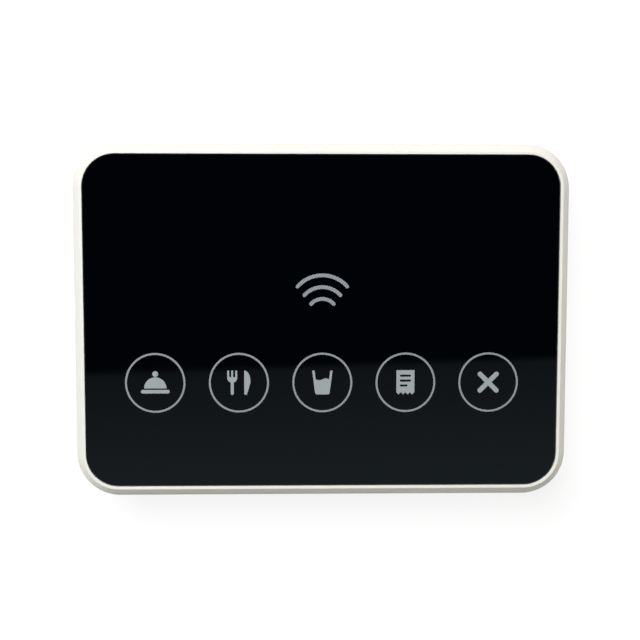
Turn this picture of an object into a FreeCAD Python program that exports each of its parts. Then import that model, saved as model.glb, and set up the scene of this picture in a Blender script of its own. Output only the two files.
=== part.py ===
"""Wireless waiter call button: a flat touch panel in a white two-part case.

The case lies flat on its feet. +Z points up out of the panel, +X to the right
along the row of touch keys, +Y away from the user. The origin is under the
middle of the case, on the plane that the feet stand on. Lengths are millimetres.
"""
import FreeCAD, Part
import math
import os
import re

import Sketcher

SIZES = {
    # Case outline: a front shell and a rear tray that meet at a level seam.
    "case_width": 110.0,
    "case_depth": 78.5,
    "corner_radius": 9.7,
    "wall": 1.8,
    "seam_height": 8.0,
    "seam_groove": 0.35,
    "rim_thickness": 0.9,
    "tongue_gap": 0.1,
    "tongue_height": 1.5,
    "bottom_round": 1.5,
    "floor_thickness": 1.8,
    "deck_thickness": 1.2,
    # Raised lip round the panel, with a sloping flank outside it.
    "lip_width": 0.62,
    "lip_proud": 0.15,
    "lip_round": 0.12,
    "flank_width": 1.85,
    "flank_round": 2.5,
    # Panel, and the adhesive sheet that holds it on the deck.
    "panel_gap": 0.12,
    "panel_thickness": 2.0,
    "panel_bevel": 0.15,
    "glue_thickness": 0.25,
    "glue_inset": 1.0,
    # Touch keys: a spring, a light and a light tube under each printed ring.
    "key_count": 5,
    "key_pitch": 18.5,
    "key_row_rise": 23.16,
    "key_window_radius": 7.0,
    "key_tube_wall": 0.8,
    "key_tube_gap": 0.5,
    "key_spring_height": 5.45,
    "key_spring_radius": 4.6,
    "key_spring_turns": 4,
    "key_spring_wire": 0.25,
    "light_length": 3.5,
    "light_width": 2.8,
    "light_height": 1.9,
    "light_rim": 0.35,
    "light_dish": 0.4,
    # Signal window, between the middle key and the battery bay.
    "signal_drop": 5.25,
    "signal_width": 14.0,
    "signal_depth": 8.4,
    "signal_corner": 2.0,
    # Print on the panel: a ring for each key, and three arcs for the signal mark.
    "ink_thickness": 0.04,
    "ring_radius": 6.45,
    "ring_stroke": 0.42,
    "mark_drop": 4.91,
    "mark_count": 3,
    "mark_radius": 3.32,
    "mark_spacing": 2.0,
    "mark_rise": 0.6,
    "mark_stroke": 0.81,
    "mark_half_angle": 48.5,
    # Rubber feet.
    "foot_radius": 4.4,
    "foot_sink": 0.6,
    "foot_proud": 0.6,
    "foot_bevel": 0.3,
    "foot_gap": 0.1,
    "foot_from_screw": 10.5,
    # Case screws and their bosses.
    "screw_inset": 7.5,
    "screw_length": 9.0,
    "screw_radius": 1.1,
    "screw_head_radius": 2.1,
    "screw_head_height": 1.5,
    "screw_sink": 3.0,
    "screw_gap": 0.05,
    "screw_hole_gap": 0.1,
    "screw_head_gap": 0.2,
    "pilot_end_gap": 0.1,
    "boss_radius": 3.0,
    "cross_length": 2.4,
    "cross_width": 0.5,
    "cross_sink": 0.8,
    # Circuit board and its screws.
    "board_thickness": 1.2,
    "board_gap": 0.6,
    "board_corner": 1.0,
    "post_inset": 3.2,
    "post_radius": 2.6,
    "board_screw_radius": 0.9,
    "board_screw_length": 4.0,
    "board_head_radius": 1.7,
    "board_head_height": 1.1,
    # Battery cells, side by side along X.
    "cell_radius": 5.25,
    "cell_length": 44.5,
    "nub_radius": 1.9,
    "nub_height": 1.0,
    "cell_play": 0.4,
    "cell_spacing": 0.4,
    "bay_wall": 1.2,
    "bay_back_gap": 0.3,
    "roof_thickness": 1.0,
    "roof_gap": 0.1,
    # Battery contacts and leads.
    "contact_thickness": 0.4,
    "contact_side": 9.0,
    "contact_nib_radius": 1.5,
    "contact_nib_height": 0.8,
    "contact_spring_length": 4.2,
    "contact_spring_radius": 3.2,
    "contact_spring_turns": 3,
    "contact_spring_wire": 0.3,
    "tab_width": 3.0,
    "tab_reach": 1.2,
    "tab_gap": 0.1,
    "lead_radius": 0.5,
    "lead_bend": 1.5,
    "lead_exit": 0.5,
    "lead_spacing": 1.6,
    "lead_landing": 4.0,
    # Battery door, which slides out past the back edge.
    "door_thickness": 1.6,
    "door_lap": 0.9,
    "door_gap": 0.1,
    "rail_width": 1.0,
    "rail_thickness": 0.8,
    "rail_lift": 0.5,
    "rail_strip_height": 1.0,
    "grip_count": 5,
    "grip_pitch": 1.8,
    "grip_width": 0.9,
    "grip_length": 14.0,
    "grip_sink": 0.4,
    "grip_from_back": 3.5,
    # Keyholes for two wall screws.
    "hanger_spacing": 80.0,
    "hanger_drop": 8.0,
    "hanger_entry_radius": 4.2,
    "hanger_slot_radius": 2.0,
    "hanger_slot_length": 7.0,
    # Row of parts under the board: buzzer, capacitor and both switches.
    "switch_row_rise": 10.85,
    "buzzer_x": -24.0,
    "buzzer_radius": 4.75,
    "buzzer_height": 4.5,
    "buzzer_port_radius": 0.9,
    "buzzer_port_depth": 1.0,
    "sound_hole_radius": 0.6,
    "sound_hole_circle": 2.4,
    "sound_hole_count": 6,
    # Pairing switch, with a button that passes through the rear cover.
    "pair_x": 8.0,
    "pair_side": 6.0,
    "pair_height": 3.5,
    "plunger_radius": 1.7,
    "plunger_reach": 0.8,
    "plunger_depth": 1.0,
    "plunger_side_gap": 0.05,
    "plunger_end_gap": 0.3,
    "button_radius": 2.4,
    "button_gap": 0.2,
    "button_recess": 0.3,
    "flange_radius": 3.4,
    "flange_height": 0.8,
    "button_travel": 0.3,
    # Power switch, with a knob in a slot of the rear cover.
    "power_x": 27.0,
    "power_length": 8.6,
    "power_width": 4.4,
    "power_height": 4.0,
    "knob_length": 1.6,
    "knob_width": 1.4,
    "knob_depth": 0.9,
    "knob_recess": 0.4,
    "knob_gap": 0.25,
    "knob_travel": 2.0,
    "dish_margin": 2.2,
    "dish_sink": 0.7,
    # Chips and other parts on the board.
    "chip_width": 3.9,
    "chip_height": 1.5,
    "chip_standoff": 0.1,
    "touch_chip_length": 9.9,
    "touch_chip_pins": 7,
    "control_chip_length": 8.6,
    "control_chip_pins": 6,
    "pin_pitch": 1.27,
    "pin_width": 0.4,
    "pin_reach": 1.05,
    "pin_thickness": 0.2,
    "touch_chip_drop": 4.6,
    "control_chip_x": -20.0,
    "resistor_length": 1.6,
    "resistor_width": 0.8,
    "resistor_height": 0.5,
    "resistor_drop": 10.5,
    "capacitor_x": -7.0,
    "capacitor_radius": 2.5,
    "capacitor_height": 4.0,
    "capacitor_base": 5.3,
    "capacitor_base_height": 0.6,
    # Radio transmitter: a small board on a header, and its coiled aerial.
    "radio_x": 21.0,
    "radio_length": 14.0,
    "radio_depth": 9.0,
    "radio_thickness": 0.8,
    "header_height": 0.9,
    "header_width": 2.2,
    "header_pins": 4,
    "header_pitch": 2.0,
    "header_pin_radius": 0.3,
    "header_pin_reach": 0.6,
    "header_hole_gap": 0.05,
    "resonator_length": 3.8,
    "resonator_width": 3.0,
    "resonator_height": 1.0,
    "resonator_shift": 3.5,
    "radio_row_shift": 1.8,
    "radio_chip_side": 3.0,
    "radio_chip_height": 0.9,
    "aerial_length": 8.0,
    "aerial_radius": 1.2,
    "aerial_turns": 6,
    "aerial_wire": 0.25,
}

PLACES = {
    # Levels, from the feet up to the lip.
    "floor_top": "foot_proud + floor_thickness",
    "door_inside": "foot_proud + door_thickness",
    "cell_axis": "door_inside + cell_play + cell_radius",
    "roof_bottom": "cell_axis + cell_radius + cell_play / 2",
    "roof_top": "roof_bottom + roof_thickness",
    "deck_bottom": "roof_top + roof_gap",
    "deck_top": "deck_bottom + deck_thickness",
    "panel_bottom": "deck_top + glue_thickness",
    "panel_top": "panel_bottom + panel_thickness",
    "case_top": "panel_top + lip_proud",
    "board_top": "panel_bottom - key_spring_height",
    "board_bottom": "board_top - board_thickness",
    "screw_seat": "foot_proud + screw_sink",
    # Outlines that follow the outside of the case.
    "panel_inset": "flank_width + lip_width + panel_gap",
    "panel_width": "case_width - 2 * panel_inset",
    "panel_depth": "case_depth - 2 * panel_inset",
    "panel_radius": "corner_radius - panel_inset",
    "inner_width": "case_width - 2 * wall",
    "inner_depth": "case_depth - 2 * wall",
    "inner_radius": "corner_radius - wall",
    "tongue_inset": "rim_thickness + tongue_gap",
    # Screws and feet, near the corners.
    "screw_x": "case_width / 2 - screw_inset",
    "screw_y": "case_depth / 2 - screw_inset",
    "foot_x": "screw_x - foot_from_screw",
    # Battery bay, along the back edge.
    "bay_length": "cell_length + 2 * contact_thickness + contact_nib_height + contact_spring_length",
    "bay_depth": "4 * cell_radius + cell_spacing + 2 * cell_play",
    "bay_y": "inner_depth / 2 - bay_back_gap - bay_wall - bay_depth / 2",
    "cell_offset": "cell_radius + cell_spacing / 2",
    "door_width": "bay_length + 2 * door_lap",
    "door_front": "bay_y - bay_depth / 2 - door_lap",
    "door_depth": "case_depth / 2 - door_front",
    # Circuit board, between the bay and the front edge.
    "board_width": "2 * (screw_x - boss_radius - board_gap)",
    "board_back": "bay_y - bay_depth / 2 - bay_wall - board_gap",
    "board_front": "board_gap - inner_depth / 2",
    "board_depth": "board_back - board_front",
    "board_y": "(board_back + board_front) / 2",
    "post_x": "board_width / 2 - post_inset",
    "post_y": "board_depth / 2 - post_inset",
    # Keys and signal mark, placed from the panel's front edge.
    "key_row": "key_row_rise - panel_depth / 2",
    "first_key_x": "-key_pitch * (key_count - 1) / 2",
    "signal_y": "board_back - signal_drop",
    "resistor_y": "key_row - resistor_drop",
    "radio_y": "board_back - board_gap - radio_depth / 2",
    "radio_bottom": "board_top + header_height",
    "radio_top": "radio_bottom + radio_thickness",
    "header_x": "radio_x - radio_length / 2 + header_width / 2",
    # Row of parts under the board.
    "switch_row": "board_front + switch_row_rise",
    "plunger_bottom": "board_bottom - pair_height - plunger_reach",
    "power_bottom": "board_bottom - power_height",
}

doc = FreeCAD.newDocument("waiter_call_button")
up = FreeCAD.Vector(0, 0, 1)
right = FreeCAD.Rotation(FreeCAD.Vector(0, 1, 0), 90)
left = FreeCAD.Rotation(FreeCAD.Vector(0, 1, 0), -90)


def sized(formula, own_sheet=False):
    """Write each size in a formula as its cell, so that FreeCAD can follow it."""
    def cell(match):
        word = match.group(0)
        if word in SIZES:
            return "Sizes." + word
        if word in PLACES and not own_sheet:
            return "Places." + word
        return word
    return re.sub(r"[a-z_]+", cell, str(formula))


def make_sheet(name, cells):
    """Spreadsheet with a label and an aliased cell on each row."""
    sheet = doc.addObject("Spreadsheet::Sheet", name)
    for row, (alias, text) in enumerate(cells.items(), start=1):
        sheet.set(f"A{row}", alias)
        sheet.set(f"B{row}", str(text))
        sheet.setAlias(f"B{row}", alias)
    doc.recompute()
    return sheet


make_sheet("Sizes", SIZES)
places = make_sheet("Places", {name: "=" + sized(text, True) for name, text in PLACES.items()})


def value(formula):
    """Present value of a formula."""
    return float(places.evalExpression(sized(formula)))


def bind(thing, **formulas):
    """Tie properties of an object to formulas; at_x, at_y and at_z place it."""
    for name, formula in formulas.items():
        if name.startswith("at_"):
            name = "Placement.Base." + name[-1]
        thing.setExpression(name, sized(formula))
    return thing


# ---- Sketches and features of the moulded pieces ----

def origin_feature(body, role):
    return next(item for item in body.Origin.OriginFeatures if item.Role == role)


def sketch_at(body, name, level, x="0", y="0"):
    """Level sketch in a body, with its centre at x, y."""
    sketch = body.newObject("Sketcher::SketchObject", name)
    sketch.AttachmentSupport = [(origin_feature(body, "XY_Plane"), "")]
    sketch.MapMode = "FlatFace"
    for axis, formula in (("x", x), ("y", y), ("z", level)):
        sketch.setExpression(f"AttachmentOffset.Base.{axis}", sized(formula))
    return sketch


def drive(sketch, name, kind, *items, by):
    """Add a dimension to a sketch and tie it to a formula."""
    index = sketch.addConstraint(Sketcher.Constraint(kind, *items, value(by)))
    sketch.renameConstraint(index, name)
    sketch.setExpression(f"Constraints.{name}", sized(by))


def draw_rectangle(sketch, width, depth, tag=""):
    """Rectangle centred in its sketch."""
    half_x, half_y = value(width) / 2, value(depth) / 2
    corners = [FreeCAD.Vector(x * half_x, y * half_y, 0) for x, y in ((-1, -1), (1, -1), (1, 1), (-1, 1))]
    first = sketch.GeometryCount
    for index in range(4):
        sketch.addGeometry(Part.LineSegment(corners[index], corners[(index + 1) % 4]))
    for index in range(4):
        following = first + (index + 1) % 4
        sketch.addConstraint(Sketcher.Constraint("Coincident", first + index, 2, following, 1))
        sketch.addConstraint(Sketcher.Constraint("Vertical" if index % 2 else "Horizontal", first + index))
    sketch.addConstraint(Sketcher.Constraint("Symmetric", first, 1, first + 1, 2, -1, 1))
    drive(sketch, "width" + tag, "DistanceX", first, 1, first, 2, by=width)
    drive(sketch, "depth" + tag, "DistanceY", first + 1, 1, first + 1, 2, by=depth)


def draw_rounded_rectangle(sketch, width, depth, radius, tag=""):
    """Rectangle with tangent corner arcs, centred in its sketch."""
    half_x, half_y, round_off = value(width) / 2, value(depth) / 2, value(radius)
    first = sketch.GeometryCount
    for turn in range(4):
        quarter = FreeCAD.Rotation(up, 90 * turn)
        along, across = (half_x, half_y) if turn % 2 == 0 else (half_y, half_x)
        start = FreeCAD.Vector(round_off - along, -across, 0)
        end = FreeCAD.Vector(along - round_off, -across, 0)
        sketch.addGeometry(Part.LineSegment(quarter.multVec(start), quarter.multVec(end)))
    for turn, (x, y) in enumerate(((1, -1), (1, 1), (-1, 1), (-1, -1))):
        centre = FreeCAD.Vector(x * (half_x - round_off), y * (half_y - round_off), 0)
        start_angle = FreeCAD.Units.Quantity(f"{90 * (turn - 1)} deg").getValueAs("rad").Value
        end_angle = FreeCAD.Units.Quantity(f"{90 * turn} deg").getValueAs("rad").Value
        sketch.addGeometry(Part.ArcOfCircle(Part.Circle(centre, up, round_off), start_angle, end_angle))
    for turn in range(4):
        line, arc, following = first + turn, first + 4 + turn, first + (turn + 1) % 4
        sketch.addConstraint(Sketcher.Constraint("Tangent", line, 2, arc, 1))
        sketch.addConstraint(Sketcher.Constraint("Tangent", arc, 2, following, 1))
        sketch.addConstraint(Sketcher.Constraint("Vertical" if turn % 2 else "Horizontal", line))
        if turn:
            sketch.addConstraint(Sketcher.Constraint("Equal", first + 4, arc))
    sketch.addConstraint(Sketcher.Constraint("Symmetric", first + 4, 3, first + 6, 3, -1, 1))
    drive(sketch, "width" + tag, "DistanceX", first + 3, 1, first + 1, 1, by=width)
    drive(sketch, "depth" + tag, "DistanceY", first, 1, first + 2, 1, by=depth)
    drive(sketch, "radius" + tag, "Radius", first + 4, by=radius)


def draw_circle(sketch, radius, tag=""):
    """Circle centred in its sketch."""
    circle = sketch.addGeometry(Part.Circle(FreeCAD.Vector(), up, value(radius)))
    sketch.addConstraint(Sketcher.Constraint("Coincident", circle, 3, -1, 1))
    drive(sketch, "radius" + tag, "Radius", circle, by=radius)


def draw_corner_circles(sketch, x, y, radius):
    """Four equal circles, mirrored about both axes of their sketch."""
    for side_x, side_y in ((1, 1), (-1, 1), (-1, -1), (1, -1)):
        centre = FreeCAD.Vector(side_x * value(x), side_y * value(y), 0)
        sketch.addGeometry(Part.Circle(centre, up, value(radius)))
    for first, second, mirror_line in ((0, 1, -2), (0, 3, -1), (1, 2, -1)):
        sketch.addConstraint(Sketcher.Constraint("Symmetric", first, 3, second, 3, mirror_line))
        sketch.addConstraint(Sketcher.Constraint("Equal", first, second))
    drive(sketch, "centre_x", "DistanceX", -1, 1, 0, 3, by=x)
    drive(sketch, "centre_y", "DistanceY", -1, 1, 0, 3, by=y)
    drive(sketch, "radius", "Radius", 0, by=radius)


def add_pad(body, sketch, name, length, down=False):
    """Material added from a sketch, upwards unless down is set."""
    pad = body.newObject("PartDesign::Pad", name)
    pad.Profile = sketch
    pad.Reversed = down
    bind(pad, Length=length)
    doc.recompute()
    return pad


def add_pocket(body, sketch, name, length, upwards=False):
    """Material removed from a sketch, downwards unless upwards is set."""
    volume = body.Shape.Volume
    pocket = body.newObject("PartDesign::Pocket", name)
    pocket.Profile = sketch
    pocket.Reversed = upwards
    bind(pocket, Length=length)
    doc.recompute()
    if body.Shape.Volume >= volume:
        raise RuntimeError(f"{name} removes nothing")
    return pocket


def level_edges(feature, level, extra=lambda edge: True):
    """Names of the edges that lie at one height."""
    height = value(level)
    names = []
    for index, edge in enumerate(feature.Shape.Edges, start=1):
        span = edge.BoundBox
        if max(abs(span.ZMin - height), abs(span.ZMax - height)) < 1e-4 and extra(edge):
            names.append(f"Edge{index}")
    return names


def add_edge_feature(body, kind, name, base, edges, size):
    """Fillet or chamfer on named edges."""
    feature = body.newObject("PartDesign::" + kind, name)
    feature.Base = (base, edges)
    bind(feature, **{"Radius" if kind == "Fillet" else "Size": size})
    doc.recompute()
    return feature


def add_row(body, name, originals, role, length, count):
    """Features repeated in a row along one axis of the body."""
    row = body.newObject("PartDesign::LinearPattern", name)
    row.Originals = originals
    row.Direction = (origin_feature(body, role), [""])
    bind(row, Length=length, Occurrences=count)
    body.Tip = row
    doc.recompute()
    return row


# ---- Plain solids of the smaller pieces ----

def box(name, width, depth, height, x, y, z):
    """Box with its centre at x, y and its underside at z."""
    solid = doc.addObject("Part::Box", name)
    return bind(solid, Length=width, Width=depth, Height=height,
                at_x=f"{x} - ({width}) / 2", at_y=f"{y} - ({depth}) / 2", at_z=z)


def cylinder(name, radius, height, x, y, z, turn=None):
    """Upright cylinder that starts at x, y, z, or one turned to another axis."""
    solid = doc.addObject("Part::Cylinder", name)
    if turn:
        solid.Placement.Rotation = turn
    return bind(solid, Radius=radius, Height=height, at_x=x, at_y=y, at_z=z)


def coil(name, radius, wire, turns, height, x, y, z, turn=None):
    """Round wire wound upwards from x, y, z; its outer faces span the height."""
    rise = (value(height) - 2 * value(wire)) / value(turns)

    def wound(turned):
        angle = 2 * math.pi * turned
        return FreeCAD.Vector(value(radius) * math.cos(angle), value(radius) * math.sin(angle), rise * turned)

    steps = [index / 4 for index in range(4 * round(value(turns)))]
    path = Part.Wire([Part.Arc(wound(step), wound(step + 1 / 8), wound(step + 1 / 4)).toShape()
                      for step in steps])
    section = Part.Wire([Part.Circle(wound(0), FreeCAD.Vector(0, 1, 0), value(wire)).toShape()])
    winding = doc.addObject("Part::Feature", name)
    winding.Shape = path.makePipeShell([section], True, True)
    turn = turn or FreeCAD.Rotation()
    start = FreeCAD.Vector(value(x), value(y), value(z)) + turn.multVec(up) * value(wire)
    winding.Placement = FreeCAD.Placement(start, turn)
    return winding


def cut(name, base, tools):
    """Base solid with one or more tools taken away."""
    result = doc.addObject("Part::Cut", name)
    result.Base = base
    result.Tool = tools[0] if len(tools) == 1 else fuse(name + "_tools", tools)
    return result


def fuse(name, solids):
    """Solids joined into one."""
    result = doc.addObject("Part::MultiFuse", name)
    result.Shapes = solids
    return result


def group(name, solids):
    """Separate solids kept together as one node."""
    result = doc.addObject("Part::Compound", name)
    result.Links = solids
    return result


def key_places():
    """Centre of each touch key along the row."""
    return [f"first_key_x + {index} * key_pitch" for index in range(SIZES["key_count"])]


def corner_places(x, y):
    """Four places mirrored about both axes."""
    return [(f"{side_x} * {x}", f"{side_y} * {y}") for side_x in (1, -1) for side_y in (1, -1)]


# ---- Front panel and its adhesive ----

def make_front_panel():
    body = doc.addObject("PartDesign::Body", "front_panel")
    outline = sketch_at(body, "panel_outline", "panel_bottom")
    draw_rounded_rectangle(outline, "panel_width", "panel_depth", "panel_radius")
    slab = add_pad(body, outline, "panel_slab", "panel_thickness")
    add_edge_feature(body, "Chamfer", "panel_polished_edge", slab, level_edges(slab, "panel_top"),
                     "panel_bevel")
    return body


def make_panel_adhesive():
    body = doc.addObject("PartDesign::Body", "panel_adhesive")
    outline = sketch_at(body, "glue_outline", "deck_top")
    draw_rounded_rectangle(outline, "panel_width - 2 * glue_inset", "panel_depth - 2 * glue_inset",
                           "panel_radius - glue_inset")
    add_pad(body, outline, "glue_sheet", "glue_thickness")
    signal = sketch_at(body, "glue_signal_window", "panel_bottom", "0", "signal_y")
    draw_rounded_rectangle(signal, "signal_width", "signal_depth", "signal_corner")
    add_pocket(body, signal, "glue_signal_cut", "glue_thickness")
    ring = sketch_at(body, "glue_key_window", "panel_bottom", "first_key_x", "key_row")
    draw_circle(ring, "key_window_radius")
    window = add_pocket(body, ring, "glue_key_cut", "glue_thickness")
    add_row(body, "glue_key_row", [window], "X_Axis", "key_pitch * (key_count - 1)", "key_count")
    return body


def arc_band(name, radius, stroke, start_angle, sweep_angle, x, y):
    """Flat band of ink along an arc, on the panel's top face."""
    turn = FreeCAD.Rotation(up, value(start_angle))
    outside, inside = [
        cylinder(f"{name}_{edge}", f"{radius} {sign} {stroke} / 2", "ink_thickness", x, y, "panel_top", turn)
        for edge, sign in (("outside", "+"), ("inside", "-"))]
    bind(outside, Angle=sweep_angle)
    return cut(name, outside, [inside])


def make_key_rings():
    return group("key_rings", [arc_band(f"key_ring_{index}", "ring_radius", "ring_stroke", "0", "360",
                                        x, "key_row")
                               for index, x in enumerate(key_places(), start=1)])


def make_signal_mark():
    """Widening arcs with round ends, open towards the keys; each one's centre is a little higher."""
    arcs = []
    for index in range(SIZES["mark_count"]):
        name = f"signal_arc_{index + 1}"
        radius = f"(mark_radius + {index} * mark_spacing)"
        centre_y = f"signal_y - mark_drop + {index} * mark_rise"
        band = arc_band(name + "_band", radius, "mark_stroke", "90 - mark_half_angle", "2 * mark_half_angle",
                        "0", centre_y)
        ends = [cylinder(f"{name}_end_{side + 1}", "mark_stroke / 2", "ink_thickness",
                         f"{side} * {radius} * sin(mark_half_angle * 1 deg)",
                         f"{centre_y} + {radius} * cos(mark_half_angle * 1 deg)", "panel_top")
                for side in (-1, 1)]
        arcs.append(fuse(name, [band] + ends))
    return group("signal_mark", arcs)


# ---- Front case: lip, flank, deck, light tubes, bosses and posts ----

def make_front_case():
    body = doc.addObject("PartDesign::Body", "front_case")
    outline = sketch_at(body, "case_outline", "seam_height")
    draw_rounded_rectangle(outline, "case_width", "case_depth", "corner_radius")
    block = add_pad(body, outline, "case_block", "case_top - seam_height")
    flank = add_edge_feature(body, "Chamfer", "case_flank", block, level_edges(block, "case_top"),
                             "flank_width")
    shoulder = level_edges(flank, "case_top - flank_width")
    add_edge_feature(body, "Fillet", "case_shoulder", flank, shoulder, "flank_round")
    recess = sketch_at(body, "panel_recess_outline", "case_top")
    draw_rounded_rectangle(recess, "panel_width + 2 * panel_gap", "panel_depth + 2 * panel_gap",
                           "panel_radius + panel_gap")
    rim_top = add_pocket(body, recess, "panel_recess", "case_top - deck_top")
    add_edge_feature(body, "Fillet", "lip_edges", rim_top, level_edges(rim_top, "case_top"), "lip_round")
    inside = sketch_at(body, "case_inside_outline", "seam_height")
    draw_rounded_rectangle(inside, "inner_width", "inner_depth", "inner_radius")
    add_pocket(body, inside, "case_inside", "deck_bottom - seam_height", upwards=True)
    bosses = sketch_at(body, "case_boss_outline", "deck_bottom")
    draw_corner_circles(bosses, "screw_x", "screw_y", "boss_radius")
    add_pad(body, bosses, "case_bosses", "deck_bottom - seam_height", down=True)
    rim = sketch_at(body, "case_rim_outline", "seam_height")
    draw_rounded_rectangle(rim, "case_width - 2 * rim_thickness", "case_depth - 2 * rim_thickness",
                           "corner_radius - rim_thickness")
    draw_rounded_rectangle(rim, "inner_width - 2 * tongue_gap", "inner_depth - 2 * tongue_gap",
                           "inner_radius - tongue_gap", tag="_inside")
    add_pocket(body, rim, "case_rim_step", "tongue_height + tongue_gap", upwards=True)
    pilots = sketch_at(body, "case_pilot_outline", "seam_height")
    draw_corner_circles(pilots, "screw_x", "screw_y", "screw_radius + screw_gap")
    add_pocket(body, pilots, "case_pilots", "screw_seat + screw_length + pilot_end_gap - seam_height",
               upwards=True)
    posts = sketch_at(body, "board_post_outline", "deck_bottom", "0", "board_y")
    draw_corner_circles(posts, "post_x", "post_y", "post_radius")
    add_pad(body, posts, "board_posts", "deck_bottom - board_top", down=True)
    post_pilots = sketch_at(body, "post_pilot_outline", "board_top", "0", "board_y")
    draw_corner_circles(post_pilots, "post_x", "post_y", "board_screw_radius + screw_gap")
    add_pocket(body, post_pilots, "post_pilots", "board_screw_length + screw_gap - board_thickness",
               upwards=True)
    signal = sketch_at(body, "signal_window_outline", "deck_top", "0", "signal_y")
    draw_rounded_rectangle(signal, "signal_width", "signal_depth", "signal_corner")
    add_pocket(body, signal, "signal_window", "deck_thickness")
    tube_outline = sketch_at(body, "key_tube_outline", "deck_bottom", "first_key_x", "key_row")
    draw_circle(tube_outline, "key_window_radius + key_tube_wall")
    draw_circle(tube_outline, "key_window_radius", tag="_inside")
    tube = add_pad(body, tube_outline, "key_tube", "deck_bottom - board_top - key_tube_gap", down=True)
    window_outline = sketch_at(body, "key_window_outline", "deck_top", "first_key_x", "key_row")
    draw_circle(window_outline, "key_window_radius")
    window = add_pocket(body, window_outline, "key_window", "deck_thickness")
    add_row(body, "key_row", [tube, window], "X_Axis", "key_pitch * (key_count - 1)", "key_count")
    return body


# ---- Rear cover: tray, battery bay, door rails, bosses and openings ----

def make_rear_cover():
    body = doc.addObject("PartDesign::Body", "rear_cover")
    outline = sketch_at(body, "cover_outline", "foot_proud")
    draw_rounded_rectangle(outline, "case_width", "case_depth", "corner_radius")
    block = add_pad(body, outline, "cover_block", "seam_height - foot_proud")
    rounded = add_edge_feature(body, "Fillet", "cover_bottom_round", block,
                               level_edges(block, "foot_proud"), "bottom_round")
    add_edge_feature(body, "Chamfer", "cover_seam_groove", rounded,
                     level_edges(rounded, "seam_height"), "seam_groove")
    inside = sketch_at(body, "cover_inside_outline", "seam_height")
    draw_rounded_rectangle(inside, "inner_width", "inner_depth", "inner_radius")
    add_pocket(body, inside, "cover_inside", "seam_height - floor_top")
    tongue = sketch_at(body, "cover_tongue_outline", "seam_height")
    draw_rounded_rectangle(tongue, "case_width - 2 * tongue_inset", "case_depth - 2 * tongue_inset",
                           "corner_radius - tongue_inset")
    draw_rounded_rectangle(tongue, "inner_width", "inner_depth", "inner_radius", tag="_inside")
    add_pad(body, tongue, "cover_tongue", "tongue_height")
    bay_block = sketch_at(body, "bay_block_outline", "floor_top", "0", "bay_y")
    draw_rectangle(bay_block, "bay_length + 2 * bay_wall", "bay_depth + 2 * bay_wall")
    add_pad(body, bay_block, "bay_block", "roof_top - floor_top")
    strips = sketch_at(body, "rail_strip_outline", "floor_top", "0",
                       "(door_front + inner_depth / 2) / 2")
    draw_rectangle(strips, "door_width + 2 * (rail_width + door_gap + bay_wall)",
                   "inner_depth / 2 - door_front")
    add_pad(body, strips, "rail_strips", "rail_strip_height")
    bay = sketch_at(body, "bay_outline", "foot_proud", "0", "bay_y")
    draw_rectangle(bay, "bay_length", "bay_depth")
    add_pocket(body, bay, "bay", "roof_bottom - foot_proud", upwards=True)
    make_door_way(body)
    make_tab_slots(body)
    make_cover_bosses(body)
    make_cover_openings(body)
    return body


def make_door_way(body):
    """Recess for the battery door, open at the back edge, with a groove each side."""
    doorway = sketch_at(body, "doorway_outline", "foot_proud", "0",
                        "door_front - door_gap + (door_depth + 2 * door_gap) / 2")
    draw_rectangle(doorway, "door_width + 2 * door_gap", "door_depth + 2 * door_gap")
    add_pocket(body, doorway, "doorway", "door_thickness + door_gap", upwards=True)
    grooves = sketch_at(body, "door_groove_outline", "foot_proud + rail_lift - door_gap", "0",
                        "door_front - door_gap + (door_depth + 2 * door_gap) / 2")
    draw_rectangle(grooves, "door_width + 2 * (rail_width + door_gap)", "door_depth + 2 * door_gap")
    add_pocket(body, grooves, "door_grooves", "rail_thickness + 2 * door_gap", upwards=True)


def make_tab_slots(body):
    """Slots in the bay's left wall for the two contact tabs."""
    slot = "contact_thickness + 2 * tab_gap"
    for name, side in (("positive", 1), ("negative", -1)):
        sketch = sketch_at(body, name + "_slot_outline", f"board_top + lead_radius - ({slot}) / 2",
                           "-(bay_length + bay_wall) / 2", f"bay_y + {side} * cell_offset")
        draw_rectangle(sketch, "bay_wall", "tab_width + 2 * tab_gap")
        add_pocket(body, sketch, name + "_slot", slot, upwards=True)


def make_cover_bosses(body):
    """Screw bosses with sunk seats for the heads, and recesses for the feet."""
    bosses = sketch_at(body, "cover_boss_outline", "floor_top")
    draw_corner_circles(bosses, "screw_x", "screw_y", "boss_radius")
    add_pad(body, bosses, "cover_bosses", "seam_height - floor_top")
    seats = sketch_at(body, "screw_seat_outline", "foot_proud")
    draw_corner_circles(seats, "screw_x", "screw_y", "screw_head_radius + screw_head_gap")
    add_pocket(body, seats, "screw_seats", "screw_sink", upwards=True)
    holes = sketch_at(body, "screw_hole_outline", "screw_seat")
    draw_corner_circles(holes, "screw_x", "screw_y", "screw_radius + screw_hole_gap")
    add_pocket(body, holes, "screw_holes", "seam_height - screw_seat", upwards=True)
    feet = sketch_at(body, "foot_recess_outline", "foot_proud")
    draw_corner_circles(feet, "foot_x", "screw_y", "foot_radius + foot_gap")
    add_pocket(body, feet, "foot_recesses", "foot_sink", upwards=True)


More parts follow.
